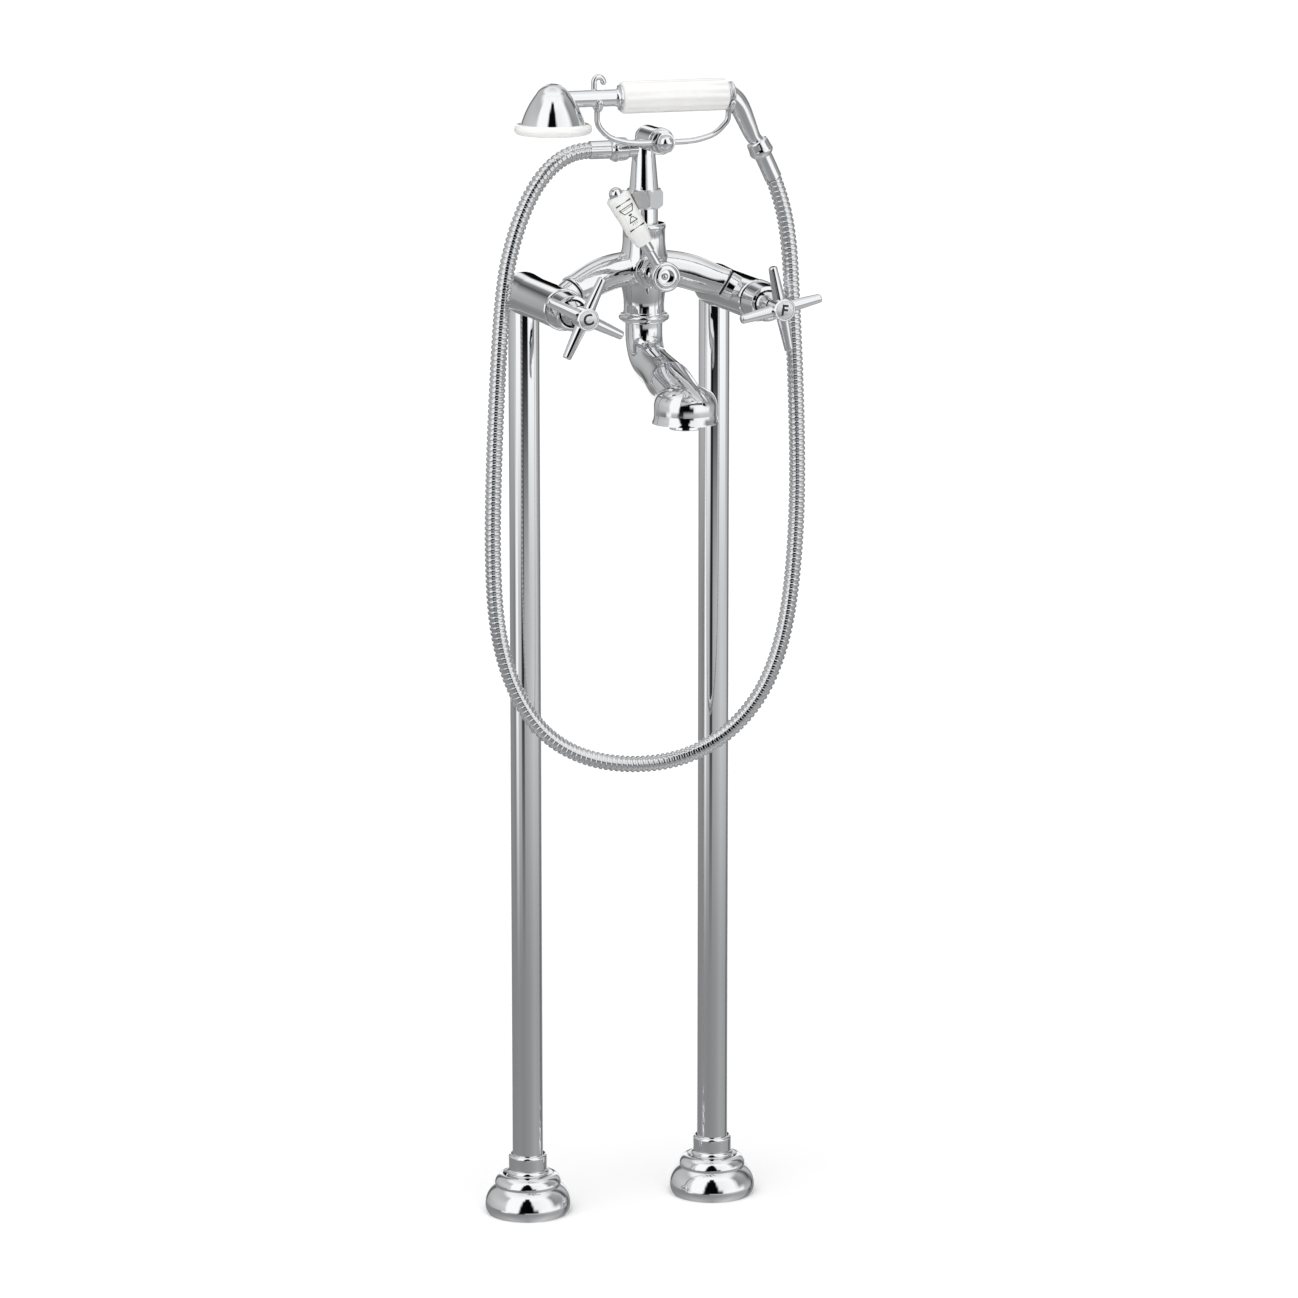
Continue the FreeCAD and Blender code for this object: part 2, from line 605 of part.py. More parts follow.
def handle(side, angle):
    """A cross handle cast in one piece: a hub with a flared skirt and four tapered arms."""
    x = side * leg_x
    back = Vector(x, hub_back_y, VALVE_AXIS_Z)
    n = HANDLE_HUB_LENGTH
    hub = turned([
        (0, 0), (HANDLE_SKIRT_RADIUS - 0.8, 0),
        ((HANDLE_SKIRT_RADIUS - 0.2, 0.3), (HANDLE_SKIRT_RADIUS, 1.2)),
        ((HANDLE_HUB_RADIUS - 0.6, n * 0.3), (HANDLE_HUB_RADIUS - 0.4, n * 0.55)),
        (HANDLE_HUB_RADIUS, n - 5.0), (HANDLE_HUB_RADIUS, n - 0.8), (HANDLE_HUB_RADIUS - 0.8, n), (0, n),
    ], back, FRONT)
    arm_y = HANDLE_FACE_Y + HANDLE_ARM_SETBACK
    centre = Vector(x, arm_y, VALVE_AXIS_Z)
    root, tip, r = HANDLE_ARM_ROOT_RADIUS, HANDLE_ARM_TIP_RADIUS, HANDLE_ARM_ROUND
    length = HANDLE_ARM_LENGTH
    arm = turned([(0, 2.0), (root, 2.0), (tip + 0.1, length - r),
                  ((tip - r * 0.28, length - r * 0.28), (tip - r, length)), (0, length)], centre, UP)
    for i in range(4):
        hub = hub.fuse(turned_about(arm, centre, FRONT, 90 * i - angle))
    hub = hub.cut(rod(INDEX_DISC_DIAMETER / 2 + PIPE_GAP, hub_face_depth,
                      Vector(x, HANDLE_FACE_Y + hub_face_depth, VALVE_AXIS_Z), FRONT))
    hub = hub.cut(rod(SPINDLE_DIAMETER / 2 + PIPE_GAP, SPINDLE_REACH, back, FRONT))
    hub = hub.cut(rod(HANDLE_SCREW_DIAMETER / 2 + PIPE_GAP, n, back, FRONT))
    pocket_y = spindle_end_y - 6.0
    pocket = rod(HANDLE_SCREW_HEAD / 2 + 0.3, pocket_y - HANDLE_FACE_Y, Vector(x, pocket_y, VALVE_AXIS_Z),
                 FRONT)
    return hub.cut(pocket)


def handle_screw(side):
    """The screw that pulls the handle on to the spindle, under the index disc."""
    x = side * leg_x
    head_y = spindle_end_y - 6.0
    start_y = spindle_end_y + 7.0
    screw = rod(HANDLE_SCREW_DIAMETER / 2, start_y - head_y + 1.0, Vector(x, start_y, VALVE_AXIS_Z), FRONT)
    head = rounded_rod(HANDLE_SCREW_HEAD / 2, 3.0, 0, 0.8, Vector(x, head_y, VALVE_AXIS_Z), FRONT)
    slot = Part.makeBox(HANDLE_SCREW_HEAD, 1.2, 1.2,
                        Vector(x - HANDLE_SCREW_HEAD / 2, head_y - 3.0, VALVE_AXIS_Z - 0.6))
    return screw.fuse(head).cut(slot)


def index_disc(side):
    """The button in the hub's face that carries the index letter."""
    x = side * leg_x
    base = Vector(x, HANDLE_FACE_Y + INDEX_DISC_THICKNESS + 0.4, VALVE_AXIS_Z)
    return rounded_rod(INDEX_DISC_DIAMETER / 2, INDEX_DISC_THICKNESS, 0, 0.4, base, FRONT)


# ---- Mixer body --------------------------------------------------------------------------------

def mixer_arms(shrink):
    """Both arms in one sweep, drooping and turned forward, or their waterway when shrink is the wall."""
    tip = 0.0 if shrink else ARM_END_ROUND
    half = [
        (Vector(24.0, MIXER_Y - 1.2, ARM_ROOT_Z - 1.4), Vector(1, -0.11, -0.14), ARM_ROOT_RADIUS),
        (Vector(41.0, MIXER_Y - 4.2, ARM_ROOT_Z - 5.3), Vector(1, -0.22, -0.33), ARM_RADIUS),
        (Vector(56.0, MIXER_Y - 8.6, ARM_ROOT_Z - 10.6), Vector(1, -0.34, -0.46), ARM_RADIUS - 0.8),
        (arm_end(1) - arm_direction(1) * tip, arm_direction(1), ARM_END_RADIUS),
    ]
    other = [(Vector(-c.x, c.y, c.z), Vector(d.x, -d.y, -d.z), r) for c, d, r in reversed(half)]
    stations = other + [(Vector(0, MIXER_Y, ARM_ROOT_Z), RIGHT, ARM_ROOT_RADIUS)] + half
    arms = loft([(c, d.normalize(), r - shrink) for c, d, r in stations], FRONT)
    if shrink:
        return arms
    for side in SIDES.values():
        way = arm_direction(side)
        end = arm_end(side) - way * (tip + 1.0)
        arms = arms.fuse(rounded_rod(ARM_END_RADIUS, ARM_END_ROUND + 1.0, 0, ARM_END_ROUND, end, way))
    return arms


def barrel():
    """The upright middle of the mixer: neck below, riser socket above."""
    low = BARREL_BOTTOM_Z
    top = SOCKET_TOP_Z
    return turned([
        (0, low), (BARREL_RADIUS + 0.2, low),
        ((BARREL_RADIUS, low + 8.0), (BARREL_RADIUS + 1.2, low + 18.0)),
        (BARREL_RADIUS + 3.5, ARM_ROOT_Z - 12.0), (BARREL_RADIUS + 3.5, ARM_ROOT_Z + 10.0),
        ((BARREL_RADIUS + 1.6, ARM_ROOT_Z + 17.0), (SOCKET_RADIUS - 0.6, ARM_ROOT_Z + 26.0)),
        (SOCKET_RADIUS - 0.6, top - 6.0), ((SOCKET_RADIUS, top - 4.0), (SOCKET_RADIUS, top - 2.5)),
        ((SOCKET_RADIUS - 0.7, top - 0.7), (SOCKET_RADIUS - 2.5, top)), (0, top),
    ], Vector(0, MIXER_Y, 0))


def mixer_body():
    """One casting: the barrel, both arms and the boss of the diverter, with the waterways cut out."""
    body = barrel().fuse(mixer_arms(0.0))
    boss_length = MIXER_Y - DIVERTER_BOSS_FRONT_Y
    centre = Vector(0, MIXER_Y, DIVERTER_Z)
    body = body.fuse(rounded_rod(DIVERTER_BOSS_RADIUS, boss_length, 0, 1.0, centre, FRONT))
    body = body.cut(rod(BARREL_BORE / 2, ARM_ROOT_Z + 8.0 - BARREL_BOTTOM_Z,
                        Vector(0, MIXER_Y, BARREL_BOTTOM_Z), UP))
    body = body.cut(rod(RISER_BORE / 2, SOCKET_TOP_Z - ARM_ROOT_Z, Vector(0, MIXER_Y, ARM_ROOT_Z), UP))
    body = body.cut(rod(RISER_TAIL_RADIUS + PIPE_GAP, RISER_SOCKET_DEPTH,
                        Vector(0, MIXER_Y, SOCKET_TOP_Z - RISER_SOCKET_DEPTH), UP))
    body = body.cut(rod(DIVERTER_BORE / 2, boss_length, centre, FRONT))
    body = body.cut(mixer_arms(ARM_WALL))
    for side in SIDES.values():
        way = arm_direction(side)
        body = body.cut(rod(SPIGOT_END_RADIUS + PIPE_GAP, SPIGOT_LENGTH + 1.0, arm_end(side) + way * 0.1,
                            way * -1))
    return body


def union_washer(base, way, outer, inner):
    return tube(outer, inner, WASHER_THICKNESS, base, way)


# ---- Diverter ----------------------------------------------------------------------------------

hub_back = HUB_FRONT_Y + HUB_RING_LENGTH


def diverter_bonnet():
    """A hexagon nut with a round collar, screwed on the boss over the cartridge."""
    base = Vector(0, DIVERTER_BOSS_FRONT_Y, DIVERTER_Z)
    nut = hexagon(DIVERTER_HEX, DIVERTER_BONNET_LENGTH - 6.0, base, FRONT)
    nut = nut.fuse(rounded_rod(DIVERTER_HEX / 2 - 2.5, DIVERTER_BONNET_LENGTH, 0, 1.0, base, FRONT))
    inner = DIVERTER_BORE / 2 - PIPE_GAP
    nut = nut.cut(rod(inner + PIPE_GAP, 8.0, base, FRONT))
    return nut.cut(rod(DIVERTER_SPINDLE_DIAMETER / 2 + RUN_GAP, DIVERTER_BONNET_LENGTH, base, FRONT))


def diverter_cartridge():
    outer = DIVERTER_BORE / 2 - PIPE_GAP
    length = MIXER_Y - 4.0 - DIVERTER_BOSS_FRONT_Y + 8.0
    base = Vector(0, MIXER_Y - 4.0, DIVERTER_Z)
    return tube(outer, DIVERTER_SPINDLE_DIAMETER / 2 + RUN_GAP, length, base, FRONT)


def diverter_spindle():
    start_y = MIXER_Y - 4.0
    end_y = HUB_FRONT_Y + HUB_RECESS_DEPTH + 2.0
    stem = rod(DIVERTER_SPINDLE_DIAMETER / 2, start_y - end_y, Vector(0, start_y, DIVERTER_Z), FRONT)
    return stem.cut(rod(1.6, 8.0, Vector(0, end_y + 8.0, DIVERTER_Z), FRONT))


def lever_direction():
    tilt = math.radians(LEVER_ANGLE)
    return Vector(math.sin(tilt), 0, math.cos(tilt))


lever_axis = Vector(0, (hub_back + HUB_FRONT_Y) / 2, DIVERTER_Z)


def diverter_hub():
    """The turning ring with a stepped stem that carries the lever."""
    r = HUB_RING_ROUND
    k = r * 0.293
    n = HUB_RING_LENGTH
    back = Vector(0, hub_back, DIVERTER_Z)
    ring_solid = turned([
        (0, 0), (HUB_RING_RADIUS - 1.5, 0), ((HUB_RING_RADIUS - 0.4, 0.5), (HUB_RING_RADIUS, 1.6)),
        (HUB_RING_RADIUS, n - r), ((HUB_RING_RADIUS - k, n - k), (HUB_RING_RADIUS - r, n)),
        (HUB_RECESS_RADIUS + 0.6, n), ((HUB_RECESS_RADIUS + 0.1, n - 0.2), (HUB_RECESS_RADIUS, n - 0.8)),
        (HUB_RECESS_RADIUS, n - HUB_RECESS_DEPTH), (0, n - HUB_RECESS_DEPTH),
    ], back, FRONT)
    way = lever_direction()
    stem_start = HUB_RING_RADIUS - 3.0
    stem = rod(LEVER_STEM_RADIUS, LEVER_GRIP_START - stem_start, lever_axis + way * stem_start, way)
    stem = stem.fuse(rounded_rod(LEVER_STEM_STEP_RADIUS, LEVER_GRIP_START - LEVER_STEM_STEP, 1.0, 0,
                                 lever_axis + way * LEVER_STEM_STEP, way))
    hub = ring_solid.fuse(stem)
    bore = DIVERTER_SPINDLE_DIAMETER / 2 + PIPE_GAP
    hub = hub.cut(rod(bore, HUB_RING_LENGTH - HUB_RECESS_DEPTH - 2.0, back, FRONT))
    hub = hub.cut(rod(1.6 + PIPE_GAP, HUB_RING_LENGTH, back, FRONT))
    return hub.cut(rod(LEVER_ROD_DIAMETER / 2 + PIPE_GAP, 14.0,
                       lever_axis + way * (LEVER_GRIP_START - 14.0), way))


def diverter_hub_screw():
    """The dome headed screw in the recess of the hub."""
    head_y = HUB_FRONT_Y + HUB_RECESS_DEPTH
    head = Part.makeSphere(HUB_SCREW_RADIUS, Vector(0, head_y, DIVERTER_Z))
    keep = rod(HUB_SCREW_RADIUS + 1, HUB_SCREW_RADIUS + 1, Vector(0, head_y, DIVERTER_Z), FRONT)
    return head.common(keep).fuse(rod(1.6, 9.0, Vector(0, head_y + 8.5, DIVERTER_Z), FRONT))


def lever_section(half_width, half_depth, at):
    """A rounded oblong across the lever, as a wire."""
    way = lever_direction()
    across = FRONT.cross(way)
    middle = lever_axis + way * at
    flat = half_width * 0.45
    depth = half_depth
    corner = half_width
    points = [(flat, depth), (corner, 0), (flat, -depth), (-flat, -depth), (-corner, 0), (-flat, depth)]
    spots = [middle + across * a + FRONT * b for a, b in points]
    top = middle + across * (flat + (corner - flat) * 0.72) + FRONT * (depth * 0.70)
    low = middle + across * (flat + (corner - flat) * 0.72) - FRONT * (depth * 0.70)
    low_left = middle - across * (flat + (corner - flat) * 0.72) - FRONT * (depth * 0.70)
    top_left = middle - across * (flat + (corner - flat) * 0.72) + FRONT * (depth * 0.70)
    edges = [
        Part.Arc(spots[0], top, spots[1]).toShape(), Part.Arc(spots[1], low, spots[2]).toShape(),
        Part.LineSegment(spots[2], spots[3]).toShape(), Part.Arc(spots[3], low_left, spots[4]).toShape(),
        Part.Arc(spots[4], top_left, spots[5]).toShape(), Part.LineSegment(spots[5], spots[0]).toShape(),
    ]
    return Part.Wire(edges)


def lever_grip():
    """The porcelain lever: flat fronted, rounded at its sides, narrow at its foot."""
    w = LEVER_GRIP_WIDTH / 2
    d = LEVER_GRIP_THICKNESS / 2
    foot = LEVER_GRIP_FOOT_WIDTH / 2
    start = LEVER_GRIP_START
    end = start + LEVER_GRIP_LENGTH
    lower = Part.makeLoft([lever_section(foot, d - 1.5, start),
                           lever_section(w - 1.2, d, start + LEVER_GRIP_TAPER)],
                          True, True)
    upper = Part.makeLoft([lever_section(w - 1.2, d, start + LEVER_GRIP_TAPER),
                           lever_section(w, d, end - LEVER_GRIP_ROUND)], True, True)
    crown = Part.makeLoft([lever_section(w, d, end - LEVER_GRIP_ROUND),
                           lever_section(w - LEVER_GRIP_ROUND, d - 1.6, end)], True, True)
    way = lever_direction()
    grip = lower.fuse(upper).fuse(crown)
    bore = rod(LEVER_ROD_DIAMETER / 2 + PIPE_GAP, LEVER_GRIP_LENGTH, lever_axis + way * start, way)
    return grip.cut(bore)


def lever_rod():
    """The threaded rod through the porcelain, from the stem to the cap."""
    way = lever_direction()
    start = LEVER_GRIP_START - 13.5
    end = LEVER_GRIP_START + LEVER_GRIP_LENGTH + LEVER_CAP_HEIGHT - 3.0
    return rod(LEVER_ROD_DIAMETER / 2, end - start, lever_axis + way * start, way)


def lever_cap():
    """The chrome dome that closes the lever's end."""
    way = lever_direction()
    h = LEVER_CAP_HEIGHT
    r = LEVER_CAP_RADIUS
    base = lever_axis + way * (LEVER_GRIP_START + LEVER_GRIP_LENGTH)
    dome = turned([(0, 0), (r, 0), (r, 1.0), cap(r, 1.0, h)], base, way)
    return dome.cut(rod(LEVER_ROD_DIAMETER / 2 + PIPE_GAP, h - 3.0, base, way))


# ---- Spout -------------------------------------------------------------------------------------

spout_shank_radius = BARREL_BORE / 2 - RUN_GAP
spout_top_z = BARREL_BOTTOM_Z - SPOUT_BEAD_HEIGHT


def spout_swivel_ring():
    """The beaded ring nut under the mixer that keeps the spout in its socket."""
    h = SPOUT_BEAD_HEIGHT
    top = BARREL_BOTTOM_Z
    r = SPOUT_BEAD_RADIUS
    outer = BARREL_RADIUS + 1.0
    inner = spout_shank_radius + RUN_GAP
    return turned([
        (inner, top - h), (outer - 0.8, top - h), (outer, top - h + 0.8), (outer, top - h + 1.6),
        ((r, top - h / 2), (outer, top - 1.6)), (outer, top - 0.6), (outer - 0.6, top), (inner, top),
    ], Vector(0, MIXER_Y, 0))


def spout_stations(shrink):
    """Circles along the spout from its upright top to the back of the bell."""
    r = SPOUT_RADIUS
    bend = SPOUT_BEND_RADIUS
    rows = [(Vector(0, MIXER_Y, spout_top_z - RUN_GAP - 1.6 * shrink), UP * -1, r)]
    for i in range(5):
        a = math.radians(SPOUT_BEND_ANGLE * i / 4)
        centre = Vector(0, MIXER_Y - bend * (1 - math.cos(a)), SPOUT_BEND_Z - bend * math.sin(a))
        way = Vector(0, -math.sin(a), -math.cos(a))
        rows.append((centre, way, r))
    rows.append((centre + way * 24.0, way, r + 1.0))
    rows.append((centre + way * 48.0, way, r + 2.6))
    rows.append((centre + way * 70.0 - UP * 1.5, Vector(0, -0.95, -0.31), r + 2.4))
    rows.append((centre + way * 88.0 - UP * 6.5, Vector(0, -0.88, -0.48), r - 3.0))
    return [(c, d, radius - shrink) for c, d, radius in rows]


def spout_bell(shrink):
    """The outlet bell, wide and open below."""
    rim = SPOUT_RIM_RADIUS - shrink
    waist = SPOUT_WAIST_RADIUS - shrink
    low = SPOUT_RIM_Z
    top = low + SPOUT_BELL_HEIGHT - shrink
    base = Vector(0, MIXER_Y - SPOUT_OUTLET_REACH, 0)
    shoulder = SPOUT_SHOULDER_RADIUS - shrink
    return turned([(0, low), (rim, low), (rim, low + 1.2), ((waist + 0.2, low + 5.0), (waist, low + 9.0)),
                   (waist, top - 19.0), ((waist - 3.0, top - 9.5), (shoulder, top - 4.0)),
                   cap(shoulder, top - 4.0, top)], base)


def spout():
    """A cast swivel spout: shank with two seal grooves, bent neck, bell with a boss for the aerator."""
    solid = loft(spout_stations(0.0), RIGHT).fuse(spout_bell(0.0))
    solid = solid.fuse(rod(spout_shank_radius, SPOUT_SHANK_TOP_Z - spout_top_z + 1.0,
                           Vector(0, MIXER_Y, spout_top_z - 1.0), UP))
    outlet = Vector(0, MIXER_Y - SPOUT_OUTLET_REACH, SPOUT_RIM_Z)
    hollow = loft(spout_stations(SPOUT_WALL), RIGHT).fuse(spout_bell(SPOUT_WALL))
    hollow = hollow.fuse(rod(spout_shank_radius - SPOUT_WALL - 1.5, SPOUT_SHANK_TOP_Z - spout_top_z + 3.0,
                             Vector(0, MIXER_Y, spout_top_z - 3.0), UP))
    solid = solid.cut(hollow)
    seat = tube(SPOUT_RIM_RADIUS - SPOUT_WALL + 0.5, AERATOR_DIAMETER / 2 + PIPE_GAP,
                AERATOR_HEIGHT - AERATOR_DROP,
                outlet + UP * 0.6, UP)
    solid = solid.fuse(seat)
    for z in spout_groove_heights():
        half = O_RING_SECTION / 2 + 0.1
        solid = solid.cut(tube(spout_shank_radius + 1.0, spout_shank_radius - 1.8, 2 * half,
                               Vector(0, MIXER_Y, z - half), UP))
    return solid


def spout_groove_heights():
    return [BARREL_BOTTOM_Z + 5.0, BARREL_BOTTOM_Z + 12.0]


def spout_o_ring(z):
    minor = 0.9
    return ring(spout_shank_radius - minor, minor, Vector(0, MIXER_Y, z), UP)


def aerator_housing():
    """The ring that screws into the bell, standing a little below its rim."""
    base = Vector(0, MIXER_Y - SPOUT_OUTLET_REACH, SPOUT_RIM_Z - AERATOR_DROP + 0.6)
    r = AERATOR_DIAMETER / 2
    h = AERATOR_HEIGHT
    return turned([(r - AERATOR_WALL, 0.0), (r - 0.8, 0.0), ((r - 0.2, 0.2), (r, 0.8)), (r, h),
                   (r - AERATOR_WALL, h), (r - AERATOR_WALL, h - 3.0), (r - AERATOR_WALL - 1.2, h - 3.0),
                   (r - AERATOR_WALL - 1.2, h - 4.5), (r - AERATOR_WALL, h - 4.5)], base)


def aerator_insert():
    """The plastic honeycomb that the water passes through."""
    base = Vector(0, MIXER_Y - SPOUT_OUTLET_REACH, SPOUT_RIM_Z - AERATOR_DROP + 1.6)
    height = AERATOR_HEIGHT - 4.5 - 1.0
    insert = rod(AERATOR_DIAMETER / 2 - AERATOR_WALL - PIPE_GAP, height, base, UP)
    pitch = 3.4
    for i in range(-3, 4):
        for j in range(-3, 4):
            x = pitch * (i + 0.5 * (j % 2))
            y = pitch * 0.866 * j
            if math.hypot(x, y) < AERATOR_DIAMETER / 2 - AERATOR_WALL - 2.0:
                insert = insert.cut(rod(1.2, height, base + Vector(x, y, 0), UP))
    return insert


# ---- Riser, tee and cradle ---------------------------------------------------------------------

fork_x = GRIP_END_X + FORK_SIDE_GAP + CRADLE_ROD_RADIUS
riser_tail_top_z = RISER_NUT_Z + 8.0
tee_foot_z = RISER_NUT_Z + RISER_NUT_HEIGHT


def riser_tail():
    """The short pipe screwed into the mixer's top socket, with a collar that the union nut pulls on."""
    bottom = SOCKET_TOP_Z - RISER_SOCKET_DEPTH
    r = RISER_TAIL_RADIUS
    inner = RISER_BORE / 2
    return turned([(inner, bottom), (r, bottom), (r, riser_tail_top_z), (inner, riser_tail_top_z)],
                  Vector(0, MIXER_Y, 0))


def riser_union_nut():
    nut = hexagon(RISER_NUT_HEX, RISER_NUT_HEIGHT, Vector(0, MIXER_Y, RISER_NUT_Z), UP, 3.2)
    return nut.cut(rod(RISER_TAIL_RADIUS + PIPE_GAP, RISER_NUT_HEIGHT, Vector(0, MIXER_Y, RISER_NUT_Z), UP))


def riser_washer():
    return union_washer(Vector(0, MIXER_Y, riser_tail_top_z), UP, RISER_TAIL_RADIUS, RISER_BORE / 2)


def riser_tee():
    """The cone on the union, the boss of the cradle across its top and the spigot for the hose."""
    foot = riser_tail_top_z + WASHER_THICKNESS
    crown = CRADLE_Z - 9.0
    back = Vector(0, MIXER_Y - CRADLE_BOSS_SETBACK, CRADLE_Z)
    tee = turned([(0, foot), (RISER_TAIL_RADIUS, foot), (RISER_TAIL_RADIUS, tee_foot_z),
                  (TEE_FOOT_RADIUS, tee_foot_z),
                  ((TEE_FOOT_RADIUS - 1.1, tee_foot_z + 12.0), (TEE_TOP_RADIUS, crown - 6.0)),
                  (TEE_TOP_RADIUS, crown), (0, crown)], Vector(0, MIXER_Y, 0))
    tee = tee.fuse(Part.makeSphere(TEE_TOP_RADIUS, Vector(0, MIXER_Y, crown)))
    tee = tee.fuse(Part.makeSphere(CRADLE_BOSS_RADIUS, back))
    n = back.y - CRADLE_BOSS_FRONT_Y
    r = CRADLE_BOSS_RADIUS
    tee = tee.fuse(turned([(0, 0), (r, 0), (r, 2.0), (r - 0.5, 2.5), (r, 3.0), (r, n - 4.0),
                           (r + 0.9, n - 3.4),
                           (r + 0.9, n - 0.6), (r + 0.3, n), (0, n)], back, FRONT))
    outlet = Vector(0, MIXER_Y, OUTLET_Z)
    tee = tee.fuse(rod(OUTLET_SPIGOT_RADIUS, -OUTLET_SHOULDER_X, outlet, LEFT))
    outlet_reach = HOSE_NUT_LENGTH - HOSE_NUT_LIP - OUTLET_SHOULDER_X
    tee = tee.fuse(rod(OUTLET_THREAD_RADIUS, outlet_reach, outlet, LEFT))
    tee = tee.cut(rod(RISER_BORE / 2 - 1.5, OUTLET_Z - foot, Vector(0, MIXER_Y, foot), UP))
    tee = tee.cut(rod(HOSE_BORE / 2, outlet_reach, outlet, LEFT))
    bolt = rod(CRADLE_BOLT_DIAMETER / 2, 20.0, Vector(0, CRADLE_BOSS_FRONT_Y + 20.0, CRADLE_Z), FRONT)
    return tee.cut(bolt)


def cradle_bow():
    """A bent rod with a flat eye at its middle and an open fork at each end."""
    rod_y = CRADLE_BOSS_FRONT_Y - CRADLE_EYE_THICKNESS / 2
    r = CRADLE_ROD_RADIUS
    eye_base = Vector(0, CRADLE_BOSS_FRONT_Y, CRADLE_Z)
    bow = rounded_rod(CRADLE_EYE_RADIUS, CRADLE_EYE_THICKNESS, 0.8, 0.8, eye_base, FRONT)
    low = {"left": fork_radius(NECK_RADIUS), "right": fork_radius(TAIL_RING_RADIUS)}
    for name, s in (("left", -1), ("right", 1)):
        saddle_z = HANDSET_Z - low[name]
        path, radii = rounded_path([
            (s * 6.0, rod_y, CRADLE_Z - 0.5), (s * 29.0, rod_y, CRADLE_Z - 0.3),
            (s * 49.0, rod_y, CRADLE_Z + 5.0),
            (s * fork_x, rod_y - 1.0, CRADLE_Z + 17.0), (s * fork_x, rod_y - 2.0, saddle_z)])
        bow = bow.fuse(swept(path, r))
    bow = bow.fuse(fork(-fork_x, low["left"], 70.0, 90.0))
    bow = bow.fuse(fork(fork_x, low["right"], 60.0, 60.0))
    bow = bow.fuse(fork_curl(low["left"]))
    return bow.cut(rod(CRADLE_BOLT_DIAMETER / 2 + PIPE_GAP, CRADLE_EYE_THICKNESS, eye_base, FRONT))


def fork_radius(neck):
    """Radius of a fork's saddle, along the rod's middle, for a handset neck of this radius."""
    return neck + REST_GAP + CRADLE_ROD_RADIUS


def fork(x, radius, front_reach, back_reach):
    """A saddle open at the top: a rod bent round the handset's neck from below, rounded at its front end."""
    centre = Vector(x, HANDSET_Y, HANDSET_Z)

    def spot(degrees):
        a = math.radians(degrees)
        return centre + Vector(0, radius * math.sin(a), -radius * math.cos(a))

    arc = Part.Wire([Part.Arc(spot(-front_reach), spot((back_reach - front_reach) / 2),
                              spot(back_reach)).toShape()])
    saddle = swept(arc, CRADLE_ROD_RADIUS)
    saddle = saddle.fuse(Part.makeSphere(CRADLE_ROD_RADIUS, spot(-front_reach)))
    return saddle.fuse(Part.makeSphere(CRADLE_ROD_RADIUS, spot(back_reach)))


def fork_curl(radius):
    """The stem behind the neck at the rose end, curled over at its top."""
    back = HANDSET_Y + radius
    c = FORK_CURL_RADIUS
    foot = Vector(-fork_x, back, HANDSET_Z)
    top = Vector(-fork_x, back, FORK_STEM_TOP_Z)
    crown = Vector(-fork_x + c, back, FORK_STEM_TOP_Z + c)
    end = Vector(-fork_x + 2 * c, back, FORK_STEM_TOP_Z)
    path = Part.Wire([Part.LineSegment(foot, top).toShape(), Part.Arc(top, crown, end).toShape()])
    curl = swept(path, CRADLE_ROD_RADIUS)
    return curl.fuse(Part.makeSphere(CRADLE_ROD_RADIUS + 0.2, end))


nut_back_y = CRADLE_BOSS_FRONT_Y - CRADLE_EYE_THICKNESS


def cradle_cap_nut():
    """A domed hexagon nut that clamps the bow."""
    base = Vector(0, nut_back_y, CRADLE_Z)
    nut = hexagon(CAP_NUT_HEX, CAP_NUT_HEX_LENGTH, base, FRONT, 1.0)
    dome_base = Vector(0, nut_back_y - CAP_NUT_HEX_LENGTH, CRADLE_Z)
    r = CAP_NUT_DOME_RADIUS
    dome = turned([(0, -1.0), (r, -1.0), (r, 0.0), cap(r, 0.0, r * 0.85)], dome_base, FRONT)
    return nut.fuse(dome).cut(rod(CRADLE_BOLT_DIAMETER / 2, CAP_NUT_HEX_LENGTH, base, FRONT))


def cradle_bolt():
    """The stud that holds the bow and its nut on the boss."""
    start = CRADLE_BOSS_FRONT_Y + 20.0
    end = nut_back_y - CAP_NUT_HEX_LENGTH
    return rod(CRADLE_BOLT_DIAMETER / 2, start - end, Vector(0, start, CRADLE_Z), FRONT)


# ---- Hose and its fittings ---------------------------------------------------------------------

outlet_nut_x = OUTLET_SHOULDER_X - HOSE_NUT_LENGTH
hose_start_x = outlet_nut_x - HOSE_FERRULE_LENGTH
tail_way = Vector(math.cos(math.radians(TAIL_ANGLE)), 0, -math.sin(math.radians(TAIL_ANGLE)))
tail_end = Vector(TAIL_END_X, HANDSET_Y, TAIL_END_Z)
end_ferrule_base = tail_end + tail_way * END_NUT_LENGTH
hose_end = end_ferrule_base + tail_way * END_FERRULE_LENGTH


def hose_nut(base, way, length, pipe_radius, ferrule_radius):
    """A round union nut with rounded shoulders, screwed on the pipe and holding the ferrule's collar."""
    r = HOSE_NUT_RADIUS
    depth = length - HOSE_NUT_LIP
    return turned([
        (pipe_radius + PIPE_GAP, 0), (r - 3.0, 0), ((r - 1.2, 0.8), (r - 0.5, 2.6)), (r, length * 0.55),
        ((r - 0.4, length - 2.0), (r - 2.4, length)), (ferrule_radius - 1.2,
                                                       length), (ferrule_radius - 1.2, depth),
        (pipe_radius + PIPE_GAP, depth),
    ], base, way)


